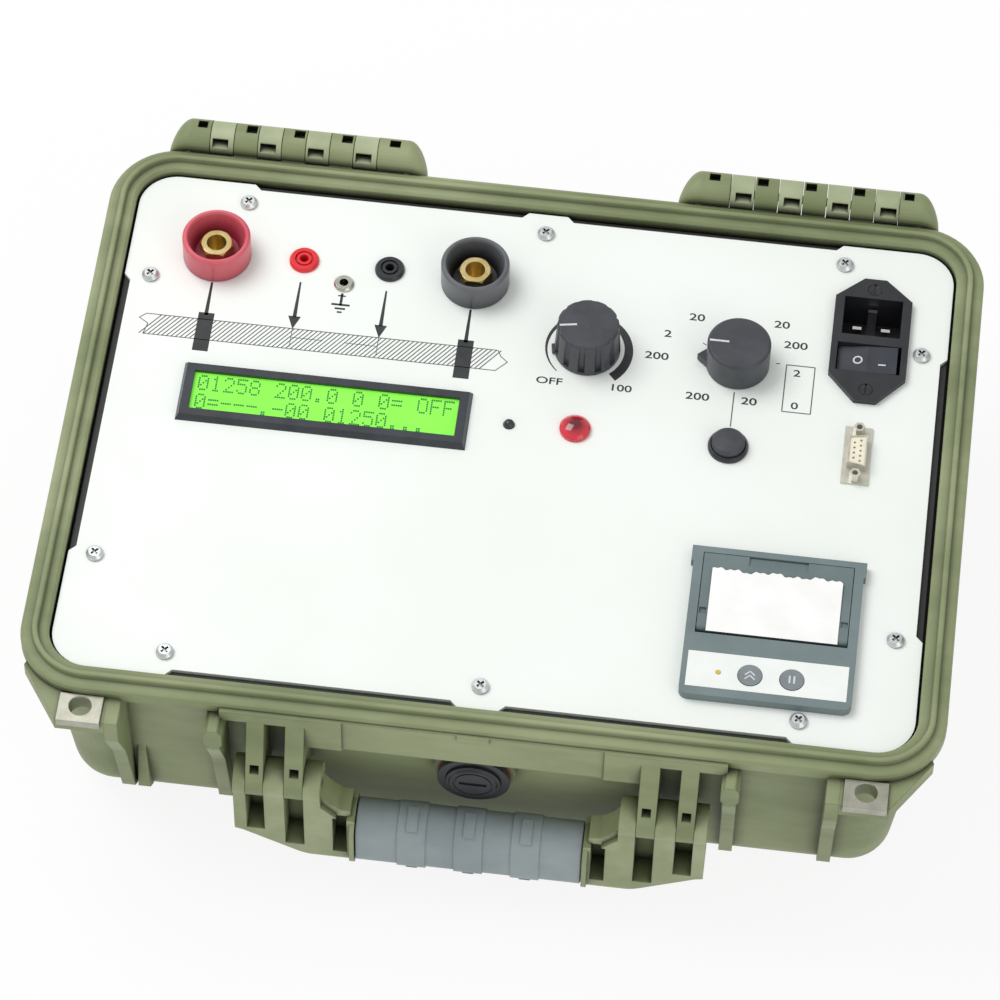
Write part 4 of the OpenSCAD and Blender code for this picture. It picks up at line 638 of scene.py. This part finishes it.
def torn_sheet(bm):
    across, along = PAPER_STEPS

    def point(i, j):
        u, v = i / across, j / along
        ragged = (0.5 * math.sin(41 * u) + 0.4 * math.sin(97 * u + 1) + 0.5 * math.sin(17 * u)) * MM * v ** 6
        x = sheet_low[0] + (sheet_high[0] - sheet_low[0]) * u
        y = sheet_low[1] + (sheet_high[1] - TORN_OFF - sheet_low[1]) * v + ragged
        raised = ARCH * math.sin(math.pi * v) * (0.6 + 0.4 * math.sin(math.pi * u)) + CURL * v ** 4
        return Vector((x, y, sheet_low[2] + LIFT + raised))

    floor = [[bm.verts.new(point(i, j)) for i in range(across + 1)] for j in range(along + 1)]
    roof = [[bm.verts.new(vert.co + Vector((0, 0, SHEET))) for vert in row] for row in floor]
    for j in range(along):
        for i in range(across):
            bm.faces.new((roof[j][i], roof[j][i + 1], roof[j + 1][i + 1], roof[j + 1][i]))
            bm.faces.new((floor[j + 1][i], floor[j + 1][i + 1], floor[j][i + 1], floor[j][i]))
    edge = [(0, i) for i in range(across)] + [(j, across) for j in range(along)]
    edge += [(along, i) for i in range(across, 0, -1)] + [(j, 0) for j in range(along, 0, -1)]
    walls(bm, [floor[j][i] for j, i in edge], [roof[j][i] for j, i in edge])


paper = solid("torn_paper", torn_sheet, paper_white, body_of("paper_strip"))
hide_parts("paper_strip")
print("paper faces", len(paper.data.polygons))

# %% [markdown]
# ## Dots of the display
# Each character is a block of five by seven small squares. The points that are dark are listed in
# a mesh with no faces, and Geometry Nodes put one square on each. The characters are neutral.

# %% Display characters
GLYPHS = {
    "0": ("01110", "10001", "10011", "10101", "11001", "10001", "01110"),
    "1": ("00100", "01100", "00100", "00100", "00100", "00100", "01110"),
    "2": ("01110", "10001", "00001", "00010", "00100", "01000", "11111"),
    "5": ("11111", "10000", "11110", "00001", "00001", "10001", "01110"),
    "8": ("01110", "10001", "10001", "01110", "10001", "10001", "01110"),
    "O": ("01110", "10001", "10001", "10001", "10001", "10001", "01110"),
    "F": ("11111", "10000", "10000", "11110", "10000", "10000", "10000"),
    "=": ("00000", "00000", "11111", "00000", "11111", "00000", "00000"),
    "-": ("00000", "00000", "00000", "11111", "00000", "00000", "00000"),
    ".": ("00000", "00000", "00000", "00000", "00000", "01100", "01100"),
}
LINES = ("01258 200.0 0 0= OFF", "0=---.-00 01250...  ")
LCD, GLASS = (-87.6, 14.6), PANEL + 1.2 * MM
CELL, DOT, SQUARE = (5.85, 10.2), (0.98, 1.22), (0.80, 1.0, 0.03)
spots = []
for line_index, words in enumerate(LINES):
    for column, letter in enumerate(words):
        for dot_row, pattern in enumerate(GLYPHS.get(letter, ())):
            for dot_column, dark in enumerate(pattern):
                if dark == "1":
                    x = LCD[0] + (column - 9.5) * CELL[0] + (dot_column - 2) * DOT[0]
                    y = LCD[1] + (0.5 - line_index) * CELL[1] + (3 - dot_row) * DOT[1]
                    spots.append((x * MM, y * MM, GLASS))
dots = bpy.data.meshes.new("dot_points")
dots.from_pydata(spots, [], [])

dot_ink = finish_of("liquid crystal, dark", "#2f7d35", "#38883c", 10, 1.0, 0.0, 0.3)
matrix, given = new_tree("display dots", Dot="Vector", Ink="Material")
square = add(matrix, "GeometryNodeMeshCube", {"Size": given["Dot"]})
repeat(matrix, given["Geometry"], square.outputs["Mesh"], given["Ink"])
bake_tree("display_dots", dots, matrix, {"Dot": [v * MM for v in SQUARE], "Ink": dot_ink},
          "case")

# %% [markdown]
# ## Ends of the hinges
# Each row of knuckles ends in a long boss that runs out over the rim and falls away in a round
# shoulder. The form is a loft: one section of the barrel, drawn along X, that shrinks towards its
# root over the last ten millimetres. A boolean then cuts the small core-out that keeps the wall even.

# %% Hinge ends
HINGE_Y, HINGE_Z, HINGE_R, ROOT_Y = 156.5, 118.0, 8.62, 146.5
FIRST_JOINT, LAST_JOINT, OVERLAP = 82.0, 160.05, 0.15
ROUND_STEPS, SLOPE_STEPS, SLOPE = 24, 10, 10.5
POCKET = (5, 4.6, 10)


def end_section(share):
    """The outline of the barrel and its root in Y and Z, shrunk towards the foot of the root."""
    foot_y, foot_z = ROOT_Y, HINGE_Z - HINGE_R
    points = [(foot_y, foot_z)]
    for k in range(ROUND_STEPS + 1):
        a = math.radians(-90 + 270 * k / ROUND_STEPS)
        points.append((HINGE_Y + HINGE_R * math.cos(a), HINGE_Z + HINGE_R * math.sin(a)))
    points.append((ROOT_Y, HINGE_Z))
    return [(foot_y + (y - foot_y) * share, foot_z + (z - foot_z) * share) for y, z in points]


def hinge_end(name, side, start, way, flat, pocket_at):
    """A boss from a knuckle joint outwards: flat for a while, then round down to the rim."""
    stations = [(0.0, 1.0), (flat, 1.0)]
    for k in range(1, SLOPE_STEPS + 1):
        t = k / SLOPE_STEPS
        stations.append((flat + SLOPE * t, (1 - t ** 1.9) ** 0.62 * 0.9 + 0.1))

    def build(bm):
        rings = [[bm.verts.new((side * (start + way * x) * MM, y * MM, z * MM)) for y, z in end_section(share)]
                 for x, share in stations]
        for low, high in zip(rings, rings[1:]):
            walls(bm, low, high)
        bm.faces.new(rings[0])
        bm.faces.new(rings[-1][::-1])

    made = solid(name, build, case_plastic, "case")
    at = Vector((side * (start + way * pocket_at), HINGE_Y + 1.7, HINGE_Z + HINGE_R)) * MM
    size = Matrix.Diagonal((*(v * MM for v in POCKET), 1))
    bm = bmesh.new()
    bmesh.ops.create_cube(bm, size=1, matrix=Matrix.Translation(at) @ size)
    data = bpy.data.meshes.new(name + "_cutter")
    bm.to_mesh(data)
    bm.free()
    cutter = bpy.data.objects.new(name + "_cutter", data)
    bpy.context.scene.collection.objects.link(cutter)
    cut = made.modifiers.new("core-out", "BOOLEAN")
    cut.operation, cut.solver, cut.object = "DIFFERENCE", "EXACT", cutter
    bpy.context.view_layer.update()
    made.data = baked(made)
    made.modifiers.remove(cut)
    bpy.data.objects.remove(cutter)
    print(name, len(made.data.polygons), "faces")


for side, label in ((-1, "left"), (1, "right")):
    hinge_end(f"hinge_end_inner_{label}", side, FIRST_JOINT - OVERLAP, -1, 13.5, 7.5)
    hinge_end(f"hinge_end_outer_{label}", side, LAST_JOINT + OVERLAP, 1, 9.0, 3.8)

# %% [markdown]
# ## Webs behind the handle's windows
# The arms of the handle are moulded with a thin web at their back, so the slots between the fingers
# are pockets and the floor doesn't show through them. The webs start below the barrels, where the
# fixed lugs never reach while the handle swings.

# %% Handle webs
HANDLE_Y, HANDLE_Z = -153.5, 71.0
WEB_DEPTH, SHOULDER_DEPTH = (4.6, 6.6), (-5.5, 6.5)
WEBS = ((90.4, 98.6, -33, -12), (72.9, 81.6, -43, -12), (53.9, 60.4, -46, -16.5))
SHOULDER = ((65.6, -3), (62, -9), (57.5, -13), (52.6, -14), (52.6, -18), (65.6, -18))


def upright_plate(name, outline, depth):
    """An outline in X and Z from the pivot, from one depth to another, that swings with the handle."""
    def build(bm):
        plate(bm, *([(x, HANDLE_Y + y, HANDLE_Z + z) for x, z in outline] for y in depth))
    solid(name, build, handle_plastic, "handle")


for side, label in ((-1, "left"), (1, "right")):
    for k, (near, far, low, high) in enumerate(WEBS, 1):
        crown = ((near + far) / 2, high + 0.8)
        corners = ((near, low), (far, low), (far, high), crown, (near, high))
        upright_plate(f"handle_web_{k}_{label}", [(side * x, z) for x, z in corners], WEB_DEPTH)
    upright_plate(f"handle_shoulder_{label}", [(side * x, z) for x, z in SHOULDER], SHOULDER_DEPTH)
print("webs and shoulders on the handle")

# %% [markdown]
# ## Light and floor
# A pale floor keeps a soft shadow. One large lamp from the upper left and an even sky light the
# object at a level where a colour renders about as it is written. The camera, and what shines,
# see the floor a little brighter than the lamps make it, so that the background is nearly white.

# %% Light and floor
SKY, FLOOR_GREY, FLOOR_GLOW, FLOOR_SIZE = 0.6, 0.94, 0.88, 6
world = bpy.data.worlds.new("sky")
bpy.context.scene.world = world
world.use_nodes = True
sky = world.node_tree.nodes["Background"]
sky.inputs["Color"].default_value = (1, 1, 1, 1)
sky.inputs["Strength"].default_value = SKY


def lamp(name, at, size, power):
    """A square lamp that faces the object."""
    data = bpy.data.lights.new(name, "AREA")
    data.shape, data.size, data.energy = "SQUARE", size, power
    made = bpy.data.objects.new(name, data)
    made.location = at
    made.rotation_euler = (Vector((0, 0, 0.05)) - Vector(at)).to_track_quat("-Z", "Y").to_euler()
    bpy.context.scene.collection.objects.link(made)


lamp("key", (-1.1, 0.5, 2.0), 1.4, 27)
lamp("fill", (1.6, -1.6, 1.3), 1.6, 8)

floor_paint = bpy.data.materials.new("floor")
floor_paint.use_nodes = True
tree = floor_paint.node_tree
matt = tree.nodes["Principled BSDF"]
matt.inputs["Base Color"].default_value = (FLOOR_GREY, FLOOR_GREY, FLOOR_GREY, 1)
matt.inputs["Roughness"].default_value = 0.9
ray = add(tree, "ShaderNodeLightPath").outputs
seen = ray["Is Camera Ray"]
for kind in ("Is Glossy Ray", "Is Transmission Ray"):
    seen = add(tree, "ShaderNodeMath", {0: seen, 1: ray[kind]}, operation="MAXIMUM").outputs[0]
share = add(tree, "ShaderNodeMath", {0: seen, 1: FLOOR_GLOW}, operation="MULTIPLY").outputs[0]
glow = add(tree, "ShaderNodeEmission", {"Color": (1, 1, 1, 1), "Strength": 1.0}).outputs["Emission"]
mixed = add(tree, "ShaderNodeMixShader", {"Fac": share, 1: matt.outputs["BSDF"], 2: glow})
tree.links.new(mixed.outputs["Shader"], tree.nodes["Material Output"].inputs["Surface"])
bm = bmesh.new()
bmesh.ops.create_grid(bm, x_segments=1, y_segments=1, size=FLOOR_SIZE)
data = bpy.data.meshes.new("floor")
bm.to_mesh(data)
bm.free()
data.materials.append(floor_paint)
floor = bpy.data.objects.new("floor", data)
bpy.context.scene.collection.objects.link(floor)
bpy.context.scene.view_settings.view_transform = "Standard"
print("lit")
